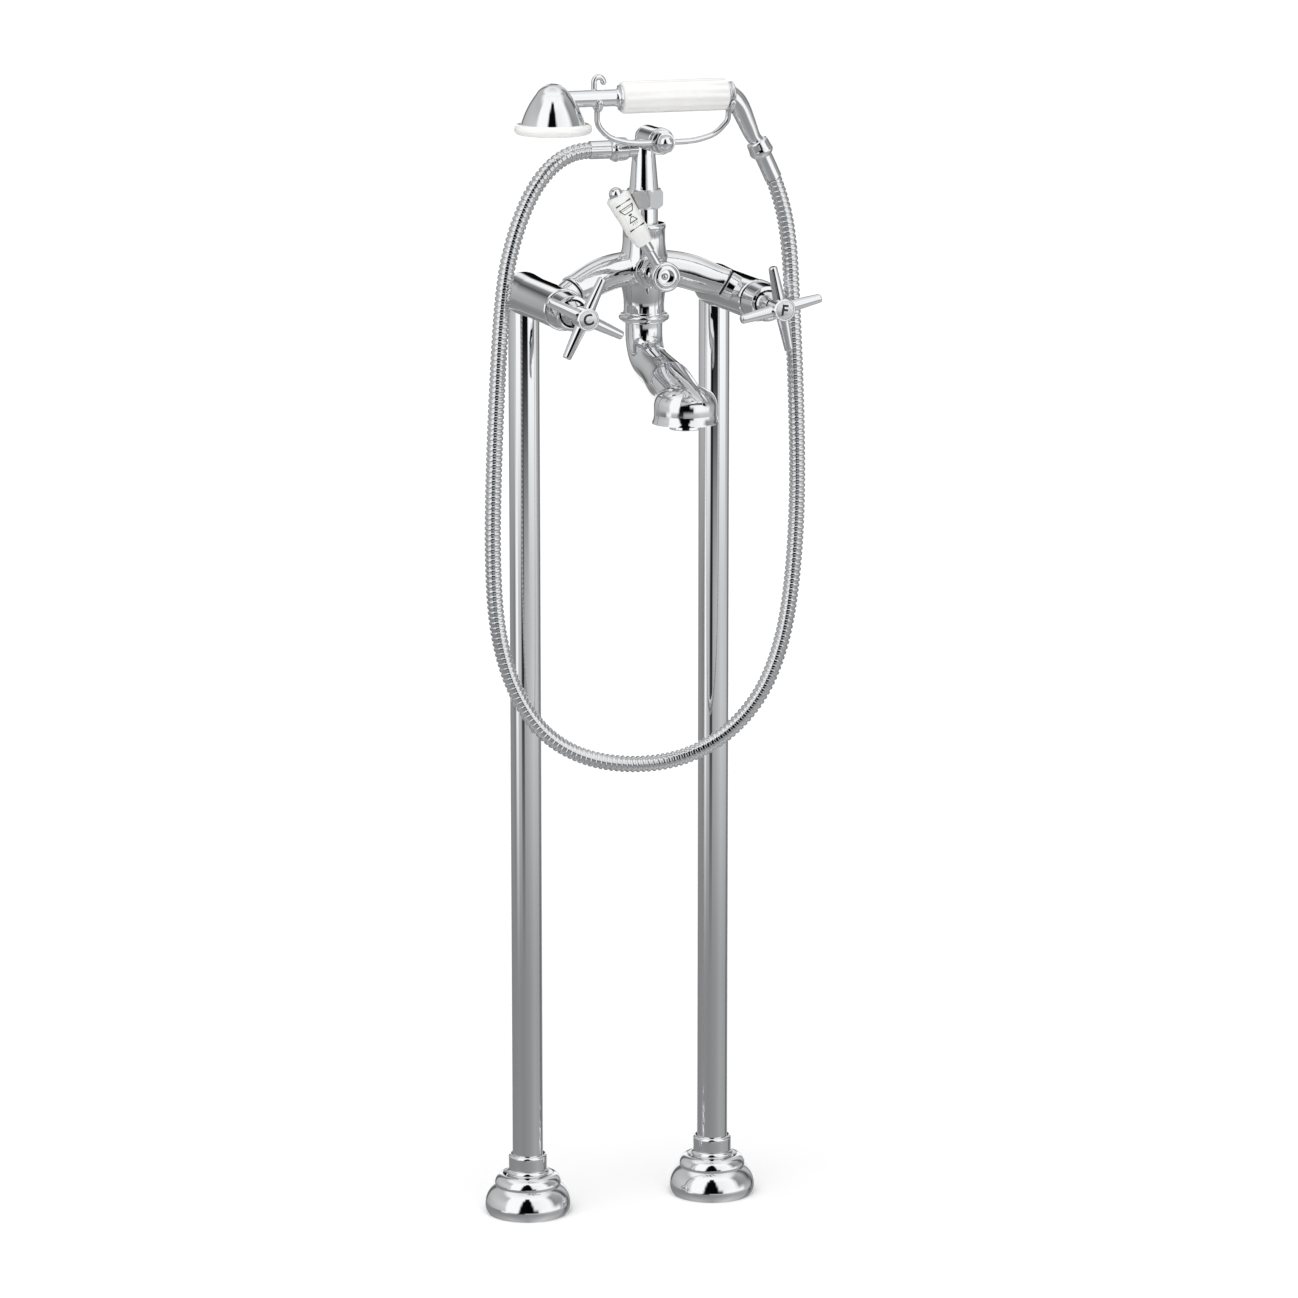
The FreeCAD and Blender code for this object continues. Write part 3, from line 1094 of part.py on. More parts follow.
def hose_ferrule(base, way, length, radius):
    """The swaged sleeve at a hose end, with a tail that goes into the nut."""
    grip = HOSE_DIAMETER / 2 + PIPE_GAP
    reach = HOSE_NUT_LIP
    return turned([
        (HOSE_BORE / 2, -reach), (radius - 1.2 - PIPE_GAP, -reach), (radius - 1.2 - PIPE_GAP, 0),
        (radius - 0.4, 0), (radius, 0.4), (radius, length - 0.2), (radius - 0.2, length), (grip, length),
        (grip, length - HOSE_GRIP), (HOSE_BORE / 2, length - HOSE_GRIP),
    ], base, way)


def shower_hose():
    """The hose as a plain tube along its hanging route."""
    start = Vector(hose_start_x + HOSE_GRIP, MIXER_Y, OUTLET_Z)
    end = hose_end - tail_way * HOSE_GRIP
    path, radii = rounded_path([start] + HOSE_ROUTE + [end + tail_way * HOSE_LAST_RUN, end])
    solid = swept(path, HOSE_DIAMETER / 2)
    print("hose radii", [round(r) for r in radii])
    print("hose length", round(path.Length, 1), "volume ratio",
          round(solid.Volume / (math.pi * HOSE_DIAMETER ** 2 / 4 * path.Length), 4))
    return solid


# ---- Handset -----------------------------------------------------------------------------------

def handset_point(x, z=HANDSET_Z):
    return Vector(x, HANDSET_Y, z)


def rose_profile(shrink):
    """Half outline of the rose's dome, from its foot to its top."""
    top = ROSE_FOOT_Z + ROSE_DOME_HEIGHT - shrink
    foot = ROSE_FOOT_Z
    r = ROSE_RADIUS - shrink
    crown_r = ROSE_CROWN_RADIUS - shrink
    crown_z = ROSE_CROWN_Z - shrink * 0.5
    waist = ((r + crown_r) / 2 + 1.2, (foot + crown_z) / 2 + 0.8)
    return [(0, foot), (r, foot), (waist, (crown_r, crown_z)), cap(crown_r, crown_z, top)]


def rose_shell():
    """The spun dome of the rose, with a hole for the tube."""
    base = Vector(ROSE_X, HANDSET_Y, 0)
    shell = turned(rose_profile(0.0), base).cut(turned(rose_profile(ROSE_WALL), base))
    return shell.cut(rod(NECK_RADIUS + PIPE_GAP, GRIP_START_X - ROSE_X, handset_point(ROSE_X), RIGHT))


def rose_rim():
    """The white ring round the face of the rose."""
    top = ROSE_FOOT_Z
    low = top - RIM_HEIGHT
    r = RIM_RADIUS
    k = RIM_HEIGHT / 2
    return turned([
        (RIM_INNER_RADIUS, low), (r - k, low), ((r, low + k), (r - k, top)), (RIM_INNER_RADIUS, top),
    ], Vector(ROSE_X, HANDSET_Y, 0))


def spray_plate():
    """The perforated face."""
    z = ROSE_FOOT_Z - RIM_HEIGHT + 1.0
    plate = rod(RIM_INNER_RADIUS - PIPE_GAP, SPRAY_PLATE_THICKNESS, Vector(ROSE_X, HANDSET_Y, z), UP)
    pitch = (RIM_INNER_RADIUS - 2.0) / (len(SPRAY_RING_HOLES) + 0.6)
    holes = []
    for row, count in enumerate(SPRAY_RING_HOLES, start=1):
        for i in range(count):
            a = 2 * math.pi * i / count
            spot = Vector(ROSE_X + row * pitch * math.cos(a), HANDSET_Y + row * pitch * math.sin(a), z)
            holes.append(rod(SPRAY_HOLE_DIAMETER / 2, SPRAY_PLATE_THICKNESS, spot, UP))
    return plate.cut(Part.makeCompound(holes))


def handset_tube():
    """The neck from the rose to the grip with its flared collar, going on inside the grip to the tail."""
    start = ROSE_X + 8.0
    flare = GRIP_START_X - start
    inner = NECK_INNER_RADIUS
    bore = NECK_INNER_RADIUS - 1.4
    end = GRIP_END_X + TAIL_RING_LENGTH - start
    n = NECK_RADIUS
    solid = turned([
        (bore, 0), (n, 0), (n, flare - 7.0), ((n + 0.9, flare - 3.4), (NECK_COLLAR_RADIUS, flare - 1.6)),
        (NECK_COLLAR_RADIUS, flare), (inner, flare), (inner, end), (bore, end),
    ], handset_point(start), RIGHT)
    return solid


def handset_grip():
    """The fluted porcelain sleeve."""
    n = GRIP_END_X - GRIP_START_X
    r = GRIP_RADIUS
    e = GRIP_ROUND
    k = e * 0.293
    body = turned([(GRIP_BORE / 2, 0), (r - e, 0), ((r - k, k), (r, e)), (r, n - e),
                   ((r - k, n - k), (r - e, n)),
                   (GRIP_BORE / 2, n)], handset_point(GRIP_START_X), RIGHT)
    away = r + GRIP_FLUTE_RADIUS - GRIP_FLUTE_DEPTH
    flutes = []
    for i in range(GRIP_FLUTES):
        a = 2 * math.pi * (i + 0.5) / GRIP_FLUTES
        spot = handset_point(GRIP_START_X) + Vector(0, away * math.cos(a), away * math.sin(a))
        flutes.append(rod(GRIP_FLUTE_RADIUS, n, spot, RIGHT))
    return body.cut(Part.makeCompound(flutes))


def handset_tail():
    """The bent end of the handset: two turned rings at the grip, then a tapered bend to the hose nut."""
    base = handset_point(GRIP_END_X)
    n = TAIL_RING_LENGTH
    r = TAIL_RING_RADIUS
    rings = turned([
        (0, 0), (r - 0.5, 0), ((r, 1.2), (r - 0.6, 2.4)), (r - 1.2, 2.9), (r - 0.6, 3.4),
        ((r, 4.6), (r - 1.0, n)), (TAIL_ROOT_RADIUS, n), (0, n),
    ], base, RIGHT)
    end_way = tail_way
    centres = [handset_point(GRIP_END_X + along, HANDSET_Z - drop) for along, drop, radius in TAIL_BEND]
    centres += [tail_end]
    radii = [radius for along, drop, radius in TAIL_BEND] + [TAIL_END_RADIUS]
    ways = [(after - before).normalize() for before, after in zip(centres, centres[2:])]
    ways = [Vector(0.93, 0, -0.36).normalize()] + ways + [end_way]
    solid = rings.fuse(loft(list(zip(centres, ways, radii)), FRONT)).cut(rod(2 * r, n, base, LEFT))
    beside_fork = FORK_SIDE_GAP + 2 * CRADLE_ROD_RADIUS + FORK_SIDE_GAP
    solid = solid.cut(tube(2 * r, r, beside_fork, base, RIGHT))
    solid = solid.fuse(rod(TAIL_END_RADIUS, END_NUT_LENGTH - HOSE_NUT_LIP, tail_end, end_way))
    solid = solid.cut(loft([(c, d, TAIL_BORE / 2) for c, d in zip(centres, ways)], FRONT))
    solid = solid.cut(rod(TAIL_BORE / 2, END_NUT_LENGTH - HOSE_NUT_LIP, tail_end, end_way))
    return solid.cut(rod(NECK_INNER_RADIUS + PIPE_GAP, n, base, RIGHT))


# ---- Build -------------------------------------------------------------------------------------

for name, side in SIDES.items():
    x = side * leg_x
    angle = HOT_HANDLE_ANGLE if name == "hot" else COLD_HANDLE_ANGLE
    export(name + "_floor_flange", floor_flange(x))
    export(name + "_flange_collar", flange_collar(x))
    export(name + "_lower_leg", lower_leg(x))
    export(name + "_upper_leg", upper_leg(x))
    export(name + "_valve_body", valve_body(side))
    export(name + "_cartridge", cartridge(side))
    export(name + "_bonnet", bonnet(side))
    export(name + "_spindle", spindle(side))
    export(name + "_handle", handle(side, angle))
    export(name + "_handle_screw", handle_screw(side))
    export(name + "_index_disc", index_disc(side))

both = [side * leg_x for side in SIDES.values()]
export("collar_grub_screws", *[grub_screw(x) for x in both])
export("floor_fixing_plates", *[fixing_plate(x) for x in both])
export("floor_anchor_screws", *[anchor_screw(px, py) for x in both for px, py in anchor_places(x)])
export("leg_joint_nipples", *[joint_nipple(x) for x in both])
export("leg_joint_o_rings", *[joint_o_ring(x, z) for x in both for z in groove_heights()])
export("arm_union_washers", *[
    union_washer(arm_end(side), arm_direction(side), ARM_END_RADIUS - ARM_END_ROUND - 0.4,
                 SPIGOT_END_RADIUS + PIPE_GAP) for side in SIDES.values()])

export("mixer_body", mixer_body())

export("diverter_bonnet", diverter_bonnet())
export("diverter_cartridge", diverter_cartridge())
export("diverter_spindle", diverter_spindle())
export("diverter_hub", diverter_hub())
export("diverter_hub_screw", diverter_hub_screw())
export("diverter_lever_rod", lever_rod())
export("diverter_lever_grip", lever_grip())
export("diverter_lever_cap", lever_cap())

export("spout_swivel_ring", spout_swivel_ring())
export("spout", spout())
export("spout_o_rings", *[spout_o_ring(z) for z in spout_groove_heights()])
export("aerator_housing", aerator_housing())
export("aerator_insert", aerator_insert())

export("riser_tail", riser_tail())
export("riser_union_nut", riser_union_nut())
export("riser_washer", riser_washer())
export("riser_tee", riser_tee())
export("cradle_bow", cradle_bow())
export("cradle_bolt", cradle_bolt())
export("cradle_cap_nut", cradle_cap_nut())

export("outlet_hose_nut", hose_nut(Vector(OUTLET_SHOULDER_X, MIXER_Y, OUTLET_Z), LEFT, HOSE_NUT_LENGTH,
                                   OUTLET_THREAD_RADIUS, HOSE_FERRULE_RADIUS))
export("outlet_hose_ferrule", hose_ferrule(Vector(outlet_nut_x, MIXER_Y, OUTLET_Z), LEFT,
                                           HOSE_FERRULE_LENGTH,
                                           HOSE_FERRULE_RADIUS))
export("shower_hose", shower_hose())
export("handset_hose_ferrule", hose_ferrule(end_ferrule_base, tail_way, END_FERRULE_LENGTH,
                                            END_FERRULE_RADIUS))
export("handset_hose_nut", hose_nut(tail_end, tail_way, END_NUT_LENGTH, TAIL_END_RADIUS, END_FERRULE_RADIUS))

export("rose_shell", rose_shell())
export("rose_rim", rose_rim())
export("spray_plate", spray_plate())
export("handset_tube", handset_tube())
export("handset_grip", handset_grip())
export("handset_tail", handset_tail())
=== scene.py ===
import json
import math

import bmesh
import bpy
from mathutils import Matrix, Vector


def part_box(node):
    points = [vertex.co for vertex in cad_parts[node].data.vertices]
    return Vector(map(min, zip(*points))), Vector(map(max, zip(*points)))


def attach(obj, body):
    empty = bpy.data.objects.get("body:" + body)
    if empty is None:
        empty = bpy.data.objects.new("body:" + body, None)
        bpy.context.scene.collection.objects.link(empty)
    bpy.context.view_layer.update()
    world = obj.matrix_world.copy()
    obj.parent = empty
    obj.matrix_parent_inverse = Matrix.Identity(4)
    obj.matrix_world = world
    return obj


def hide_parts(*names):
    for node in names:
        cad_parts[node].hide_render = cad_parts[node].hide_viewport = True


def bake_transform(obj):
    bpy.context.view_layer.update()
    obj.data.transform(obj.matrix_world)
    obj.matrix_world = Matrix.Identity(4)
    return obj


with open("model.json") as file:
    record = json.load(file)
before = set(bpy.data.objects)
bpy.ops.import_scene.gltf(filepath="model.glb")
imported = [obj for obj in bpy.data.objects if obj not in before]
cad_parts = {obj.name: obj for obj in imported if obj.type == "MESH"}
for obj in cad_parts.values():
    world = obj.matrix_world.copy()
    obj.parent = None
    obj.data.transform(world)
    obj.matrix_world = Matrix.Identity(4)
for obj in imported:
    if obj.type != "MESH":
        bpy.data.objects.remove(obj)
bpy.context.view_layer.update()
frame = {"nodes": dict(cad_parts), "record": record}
MM = 0.001    # the tables of shapes are in millimetres; the camera and the floor are in metres

# ---- Camera and studio ---------------------------------------------------------------------------
# A long lens a little to the left of the filler and above it, as the catalogue photograph was taken. The
# studio is a white floor under one broad soft light, with grey walls and a dark gap behind the camera
# that give the plating its black and white streaks.

CAMERA_PLACE = (-1.5302, -4.4439, 1.490)
CAMERA_TURN = math.radians(-19.3216)
CAMERA_TILT = math.radians(11.647)
CAMERA_LENS_MM = 146.9
CAMERA_SENSOR_MM = 36.0
CAMERA_FAR_END = 100.0
FLOOR_SIZE = 60.0
SOFT_LIGHT_LEAN = (18.0, -12.0)
SOFT_LIGHT_SPREAD = 75.0
SOFT_LIGHT_STRENGTH = 2.85
SKY_STRENGTH = 1.2
BACKDROP_WHITE = "FFFFFF"
SKY_GREY = "8C8C8C"    # what lights the matt surfaces; the plating sees the bands below

scene = bpy.context.scene
scene.view_settings.view_transform = "Standard"

camera_data = bpy.data.cameras.new("camera")
camera_data.lens = CAMERA_LENS_MM
camera_data.sensor_width = CAMERA_SENSOR_MM
camera_data.clip_end = CAMERA_FAR_END
camera = bpy.data.objects.new("camera", camera_data)
camera.location = CAMERA_PLACE
camera.rotation_euler = (math.radians(90.0) - CAMERA_TILT, 0.0, CAMERA_TURN)
scene.collection.objects.link(camera)
scene.camera = camera


def add(tree, kind, inputs=None, **settings):
    """Adds a shader node with its settings, and fills or links its inputs."""
    made = tree.nodes.new("ShaderNode" + kind)
    for key, value in settings.items():
        setattr(made, key, value)
    for key, value in (inputs or {}).items():
        if isinstance(value, bpy.types.NodeSocket):
            tree.links.new(value, made.inputs[key])
        else:
            made.inputs[key].default_value = value
    return made


def linear(code):
    """An sRGB hex colour as a linear one."""
    parts = [int(code[i:i + 2], 16) / 255 for i in (0, 2, 4)]
    return tuple(c / 12.92 if c <= 0.04045 else ((c + 0.055) / 1.055) ** 2.4 for c in parts) + (1.0,)


# What the plating sees: each row is a height in degrees above the horizon, and the greys all round at that
# height, with their degrees to the right of the camera. The walls behind the filler are alike in most rows.
BACK_WALL_LEFT = [(-180, "080808"), (-175, "080808"), (-172, "F4F4F4"), (-164, "FFFFFF"), (-159, "8C8C8C")]
BACK_WALL_RIGHT = [(158, "8C8C8C"), (163, "FFFFFF"), (171, "F4F4F4"), (174, "080808"), (180, "080808")]
STUDIO_BANDS = [
    (-60.0, [(-180, "8C8C8C"), (-60, "B4B4B4"), (0, "9A9A9A"), (60, "C8C8C8"), (180, "8C8C8C")]),
    (-15.5, BACK_WALL_LEFT + [
        (-150, "828282"), (-60, "8A8A8A"), (-30, "868686"), (20, "909090"), (60, "A2A2A2"), (110, "9A9A9A"),
        (124, "585858"), (140, "888888")] + BACK_WALL_RIGHT),
    (-11.5, BACK_WALL_LEFT + [
        (-110, "8E8E8E"), (-78, "7A7A7A"), (-70, "F0F0F0"), (-58, "FFFFFF"), (-50, "C0C0C0"), (-32, "B8B8B8"),
        (-24, "303030"), (-10, "202020"), (-4, "A8A8A8"), (30, "B8B8B8"), (60, "CACACA"), (108, "C0C0C0"),
        (124, "9A9A9A"), (134, "484848"), (146, "909090")] + BACK_WALL_RIGHT),
    (-8.0, BACK_WALL_LEFT + [
        (-150, "3C3C3C"), (-142, "A0A0A0"), (-110, "B4B4B4"), (-64, "C4C4C4"), (-56, "FFFFFF"), (-27, "FFFFFF"),
        (-21, "101010"), (0, "040404"), (27, "060606"), (32, "F0F0F0"), (42, "FFFFFF"), (92, "FAFAFA"),
        (100, "B4B4B4"), (126, "A8A8A8"), (136, "303030"), (148, "9C9C9C")] + BACK_WALL_RIGHT),
    (14.0, BACK_WALL_LEFT + [
        (-150, "484848"), (-140, "B4B4B4"), (-64, "D0D0D0"), (-58, "FFFFFF"), (-24, "FFFFFF"), (-18, "060606"),
        (14, "040404"), (20, "F0F0F0"), (64, "FFFFFF"), (74, "D8D8D8"), (80, "8C8C8C"), (112, "9A9A9A"),
        (130, "404040"), (144, "C0C0C0")] + BACK_WALL_RIGHT),
    (42.0, [
        (-180, "B4B4B4"), (-150, "707070"), (-138, "B8B8B8"), (-70, "B8B8B8"), (-62, "FFFFFF"), (-20, "FFFFFF"),
        (-14, "0A0A0A"), (10, "060606"), (15, "F0F0F0"), (66, "FFFFFF"), (76, "C8C8C8"), (82, "909090"),
        (116, "B0B0B0"), (132, "5A5A5A"), (146, "D0D0D0"), (180, "B4B4B4")]),
    (56.0, [
        (-180, "D8D8D8"), (-60, "FFFFFF"), (-12, "FFFFFF"), (-8, "101010"), (6, "101010"), (10, "FFFFFF"),
        (60, "FFFFFF"), (120, "D8D8D8"), (180, "D8D8D8")]),
    (63.0, [(-180, "E8E8E8"), (0, "FFFFFF"), (180, "E8E8E8")]),
    (80.0, [(-180, "D8D8D8"), (0, "ECECEC"), (180, "D8D8D8")]),
]

world = bpy.data.worlds.new("studio")
scene.world = world
world.use_nodes = True
studio = world.node_tree
studio.nodes.clear()
gaze = add(studio, "TexCoord").outputs["Generated"]
to_camera = (math.sin(CAMERA_TURN), -math.cos(CAMERA_TURN), 0.0)
to_right = (math.cos(CAMERA_TURN), math.sin(CAMERA_TURN), 0.0)
ahead = add(studio, "VectorMath", {0: gaze, 1: to_camera}, operation="DOT_PRODUCT").outputs["Value"]
aside = add(studio, "VectorMath", {0: gaze, 1: to_right}, operation="DOT_PRODUCT").outputs["Value"]
turn = add(studio, "Math", {0: aside, 1: ahead}, operation="ARCTAN2").outputs[0]
turn = add(studio, "Math", {0: turn, 1: 1 / math.tau, 2: 0.5}, operation="MULTIPLY_ADD").outputs[0]
lift = add(studio, "SeparateXYZ", {0: gaze}).outputs["Z"]
lift = add(studio, "Math", {0: lift}, operation="ARCSINE").outputs[0]
lift = add(studio, "Math", {0: lift, 1: 180 / math.pi}, operation="MULTIPLY").outputs[0]
shade = None
for height, stops in STUDIO_BANDS:
    band = add(studio, "ValToRGB", {0: turn})
    elements = band.color_ramp.elements
    while len(elements) < len(stops):
        elements.new(0.5)
    for element, (degrees, grey) in zip(elements, stops):
        element.position = degrees / 360.0 + 0.5
        element.color = linear(grey)
    if shade is None:
        shade = band.outputs["Color"]
    else:
        part = add(studio, "MapRange", {0: lift, 1: height_below, 2: height}, interpolation_type="SMOOTHSTEP")
        shade = add(studio, "Mix", {0: part.outputs[0], 6: shade, 7: band.outputs["Color"]},
                    data_type="RGBA").outputs[2]
    height_below = height
paths = add(studio, "LightPath").outputs
for path, seen in (("Is Diffuse Ray", SKY_GREY), ("Is Camera Ray", BACKDROP_WHITE)):
    shade = add(studio, "Mix", {0: paths[path], 6: shade, 7: linear(seen)}, data_type="RGBA").outputs[2]
glow = add(studio, "Background", {"Color": shade, "Strength": SKY_STRENGTH})
add(studio, "OutputWorld", {"Surface": glow.outputs[0]})

soft_light_data = bpy.data.lights.new("soft_light", "SUN")
soft_light_data.angle = math.radians(SOFT_LIGHT_SPREAD)
soft_light_data.energy = SOFT_LIGHT_STRENGTH
soft_light = bpy.data.objects.new("soft_light", soft_light_data)
soft_light.rotation_euler = [math.radians(lean) for lean in SOFT_LIGHT_LEAN] + [0.0]
soft_light.visible_glossy = False
scene.collection.objects.link(soft_light)

floor_mesh = bpy.data.meshes.new("studio_floor")
bm = bmesh.new()
bmesh.ops.create_grid(bm, x_segments=1, y_segments=1, size=FLOOR_SIZE / 2)
bm.to_mesh(floor_mesh)
bm.free()
studio_floor = bpy.data.objects.new("studio_floor", floor_mesh)
scene.collection.objects.link(studio_floor)
studio_floor.visible_glossy = False


def new_material(name):
    """An empty material, its tree, and where each point of the piece lies in the object."""
    made = bpy.data.materials.new(name)
    made.use_nodes = True
    made.node_tree.nodes.clear()
    return made, made.node_tree, add(made.node_tree, "TexCoord").outputs["Object"]


# Matt white floor paint, with faint patches about a third of a metre apart.
floor_paint, tree, place = new_material("white_painted_floor")
scuffs = add(tree, "TexNoise", {"Vector": place, "Scale": 3.0, "Detail": 3.0})
tone = add(tree, "Mix", {0: scuffs.outputs[0], 6: linear("F4F4F4"), 7: linear("FAFAFA")}, data_type="RGBA")
paint = add(tree, "BsdfPrincipled", {"Base Color": tone.outputs[2], "Roughness": 0.8,
                                     "Specular IOR Level": 0.1})
add(tree, "OutputMaterial", {"Surface": paint.outputs[0]})
floor_mesh.materials.append(floor_paint)

# ---- Shower hose -----------------------------------------------------------------------------------
# A limp hose of interlocked stainless strip, 14.6 mm across, crimped into a sleeve at each end. It hangs
# in one deep loop from the tee to the handset. One rib is spun, repeated along the hose's line and bent
# to it.

HOSE_DIAMETER = 14.6
HOSE_RIB_PITCH = 4.7
HOSE_GROOVE_DEPTH = 1.1
HOSE_SIDES = 24
HOSE_LINE_ORDER = 3
HOSE_LINE_STEPS = 16
RIB_SHOULDER = 0.45
RIB_ROUNDING = 0.08
GROOVE_SHADE_FROM = 0.5     # below the crown, where the painted groove shade begins
MERGE_REACH = 0.05
FACES_COMPARED = 200
RIB_CREASE = math.radians(24.0)
HOSE_ROUTE = [
    (-42.0, -66.0, 982.5), (-58.0, -66.0, 982.5), (-73.8, -66.4, 977.7), (-88.5, -67.0, 967.4),
    (-104.9, -68.0, 947.2), (-120.4, -69.2, 912.5), (-131.5, -70.0, 867.9), (-137.8, -70.2, 778.0),
    (-141.5, -70.2, 698.0), (-143.0, -70.4, 625.0), (-140.0, -71.6, 562.0), (-127.5, -75.5, 511.0),
    (-104.0, -81.5, 470.0), (-70.0, -88.0, 445.5), (-27.0, -95.7, 435.5), (20.0, -103.5, 438.5),
    (62.0, -110.3, 459.0), (95.0, -115.5, 496.0), (114.0, -118.0, 547.0), (122.8, -118.2, 608.0),
    (126.2, -118.3, 680.0), (124.4, -118.2, 762.0), (120.3, -118.1, 845.0), (116.6, -118.0, 908.0),
    (106.8, -118.0, 947.9), (98.2, -118.0, 966.0),
]

hose_curve = bpy.data.curves.new("hose_line", "CURVE")
hose_curve.dimensions = "3D"
spline = hose_curve.splines.new("NURBS")
spline.points.add(len(HOSE_ROUTE) - 1)
for spot, point in zip(HOSE_ROUTE, spline.points):
    point.co = (spot[0] * MM, spot[1] * MM, spot[2] * MM, 1.0)
spline.order_u = HOSE_LINE_ORDER
spline.use_endpoint_u = True
spline.resolution_u = HOSE_LINE_STEPS
hose_line = bpy.data.objects.new("hose_line", hose_curve)
scene.collection.objects.link(hose_line)
line_mesh = bpy.data.meshes.new_from_object(hose_line)
hose_path = [v.co.copy() for v in line_mesh.vertices]
hose_length = sum((b - a).length for a, b in zip(hose_path, hose_path[1:]))
bpy.data.meshes.remove(line_mesh)

rib_count = round(hose_length / (HOSE_RIB_PITCH * MM))
rib_pitch = hose_length / rib_count
crown = HOSE_DIAMETER / 2 * MM
groove = crown - HOSE_GROOVE_DEPTH * MM

# The outline of one rib: shares of its length along the hose, and radii.
shoulder = crown - RIB_SHOULDER * MM
rounding = crown - RIB_ROUNDING * MM
rib_outline = [
    (0.0, groove), (0.20, groove), (0.24, shoulder), (0.34, rounding), (0.56, crown), (0.78, rounding),
    (0.88, shoulder), (0.92, groove), (1.0, groove),
]


def spin_round(mesh, outline, centre, axis, sides, closed):
    """An outline turned round an axis into rings of four-sided faces, always in the same order."""
    rings = []
    for step in range(sides):
        turned = Matrix.Rotation(math.tau * step / sides, 3, axis)
        rings.append([mesh.verts.new(centre + turned @ (Vector(point) - centre)) for point in outline])
    for ring, after in zip(rings, rings[1:] + rings[:1]):
        for i in range(0 if closed else 1, len(outline)):
            mesh.faces.new((ring[i - 1], ring[i], after[i], after[i - 1]))


bm = bmesh.new()
spin_round(bm, [(along * rib_pitch, 0.0, radius) for along, radius in rib_outline], Vector(), "X", HOSE_SIDES,
           closed=False)
bmesh.ops.recalc_face_normals(bm, faces=bm.faces)
for face in bm.faces:
    face.smooth = True
    middle = face.calc_center_median()
    # faces deep in the grooves take the second material, the painted groove shade
    face.material_index = int(math.hypot(middle.y, middle.z) < crown - GROOVE_SHADE_FROM * MM)
for edge in bm.edges:
    edge.smooth = len(edge.link_faces) == 2 and edge.calc_face_angle() < RIB_CREASE
one_rib = bpy.data.meshes.new("hose_rib")
bm.to_mesh(one_rib)
bm.free()
rib_object = bpy.data.objects.new("hose_rib", one_rib)
scene.collection.objects.link(rib_object)
repeat = rib_object.modifiers.new("ribs", "ARRAY")
repeat.count = rib_count
repeat.use_relative_offset = False
repeat.use_constant_offset = True
repeat.constant_offset_displace = (rib_pitch, 0.0, 0.0)
repeat.use_merge_vertices = True
repeat.merge_threshold = MERGE_REACH * MM
follow = rib_object.modifiers.new("along_line", "CURVE")
follow.object = hose_line
bpy.context.view_layer.update()
posed = rib_object.evaluated_get(bpy.context.evaluated_depsgraph_get())
hose = bpy.data.objects.new("ribbed_hose", bpy.data.meshes.new_from_object(posed))
bpy.data.objects.remove(rib_object)
bpy.data.objects.remove(hose_line)

# Spinning and bending can turn the hose inside out, so some of its faces are compared with the line.
bm = bmesh.new()
bm.from_mesh(hose.data)
outward = 0.0
for face in list(bm.faces)[:FACES_COMPARED]:
    middle = face.calc_center_median()
    nearest = min(hose_path, key=lambda point: (point - middle).length)
    outward += (middle - nearest).dot(face.normal)
if outward < 0:
    bmesh.ops.reverse_faces(bm, faces=bm.faces)
open_rims = [edge for edge in bm.edges if edge.is_boundary]
bmesh.ops.holes_fill(bm, edges=open_rims, sides=0)
bm.to_mesh(hose.data)
bm.free()
scene.collection.objects.link(hose)

# Stainless strip, rolled and polished: bright crowns, with fine scratches about a millimetre apart that
# soften each reflection a little.
STRIP_COLOUR = "DADBDD"
strip, tree, place = new_material("rolled_stainless_strip")
scratches = add(tree, "TexNoise", {"Vector": place, "Scale": 900.0, "Detail": 2.0})
rough = add(tree, "MapRange", {0: scratches.outputs[0], 1: 0.3, 2: 0.7, 3: 0.05, 4: 0.12})
nick = add(tree, "Bump", {"Height": scratches.outputs[0], "Distance": 0.01 * MM, "Strength": 0.4})
steel = add(tree, "BsdfPrincipled", {"Base Color": linear(STRIP_COLOUR), "Metallic": 1.0,
                                     "Roughness": rough.outputs[0], "Normal": nick.outputs[0]})
add(tree, "OutputMaterial", {"Surface": steel.outputs[0]})

# Down in the grooves the strip is painted near black and dull as painted shade, not metallic, so that dark
# lines break the hose up.
PAINTED_GROOVE_SHADE = "0E0E0F"
groove_shade, tree, place = new_material("painted_groove_shade")
groove_noise = add(tree, "TexNoise", {"Vector": place, "Scale": 700.0, "Detail": 2.0})
rough = add(tree, "MapRange", {0: groove_noise.outputs[0], 1: 0.3, 2: 0.7, 3: 0.35, 4: 0.55})
groove_shade_surface = add(tree, "BsdfPrincipled", {"Base Color": linear(PAINTED_GROOVE_SHADE), "Specular IOR Level": 0.3,
                                   "Roughness": rough.outputs[0]})
add(tree, "OutputMaterial", {"Surface": groove_shade_surface.outputs[0]})
hose.data.materials.clear()
hose.data.materials.append(strip)
hose.data.materials.append(groove_shade)


def chrome_plate(name, colour, roughness, wave_mm, wave_depth_mm, haze_mm):
    """Polished metal: long shallow waves left by the buffing wheel, and faint patches of haze."""
    made, tree, place = new_material(name)
    waves = add(tree, "TexNoise", {"Vector": place, "Scale": 1.0 / (wave_mm * MM), "Detail": 1.0})
    bump = add(tree, "Bump", {"Height": waves.outputs[0], "Distance": wave_depth_mm * MM, "Strength": 1.0})
    haze = add(tree, "TexNoise", {"Vector": place, "Scale": 1.0 / (haze_mm * MM), "Detail": 4.0})
    rough = add(tree, "MapRange", {0: haze.outputs[0], 1: 0.35, 2: 0.7, 3: roughness * 0.6, 4: roughness * 1.5})
    metal = add(tree, "BsdfPrincipled", {"Base Color": linear(colour), "Metallic": 1.0,
                                         "Roughness": rough.outputs[0], "Normal": bump.outputs[0]})
    add(tree, "OutputMaterial", {"Surface": metal.outputs[0]})
    return made


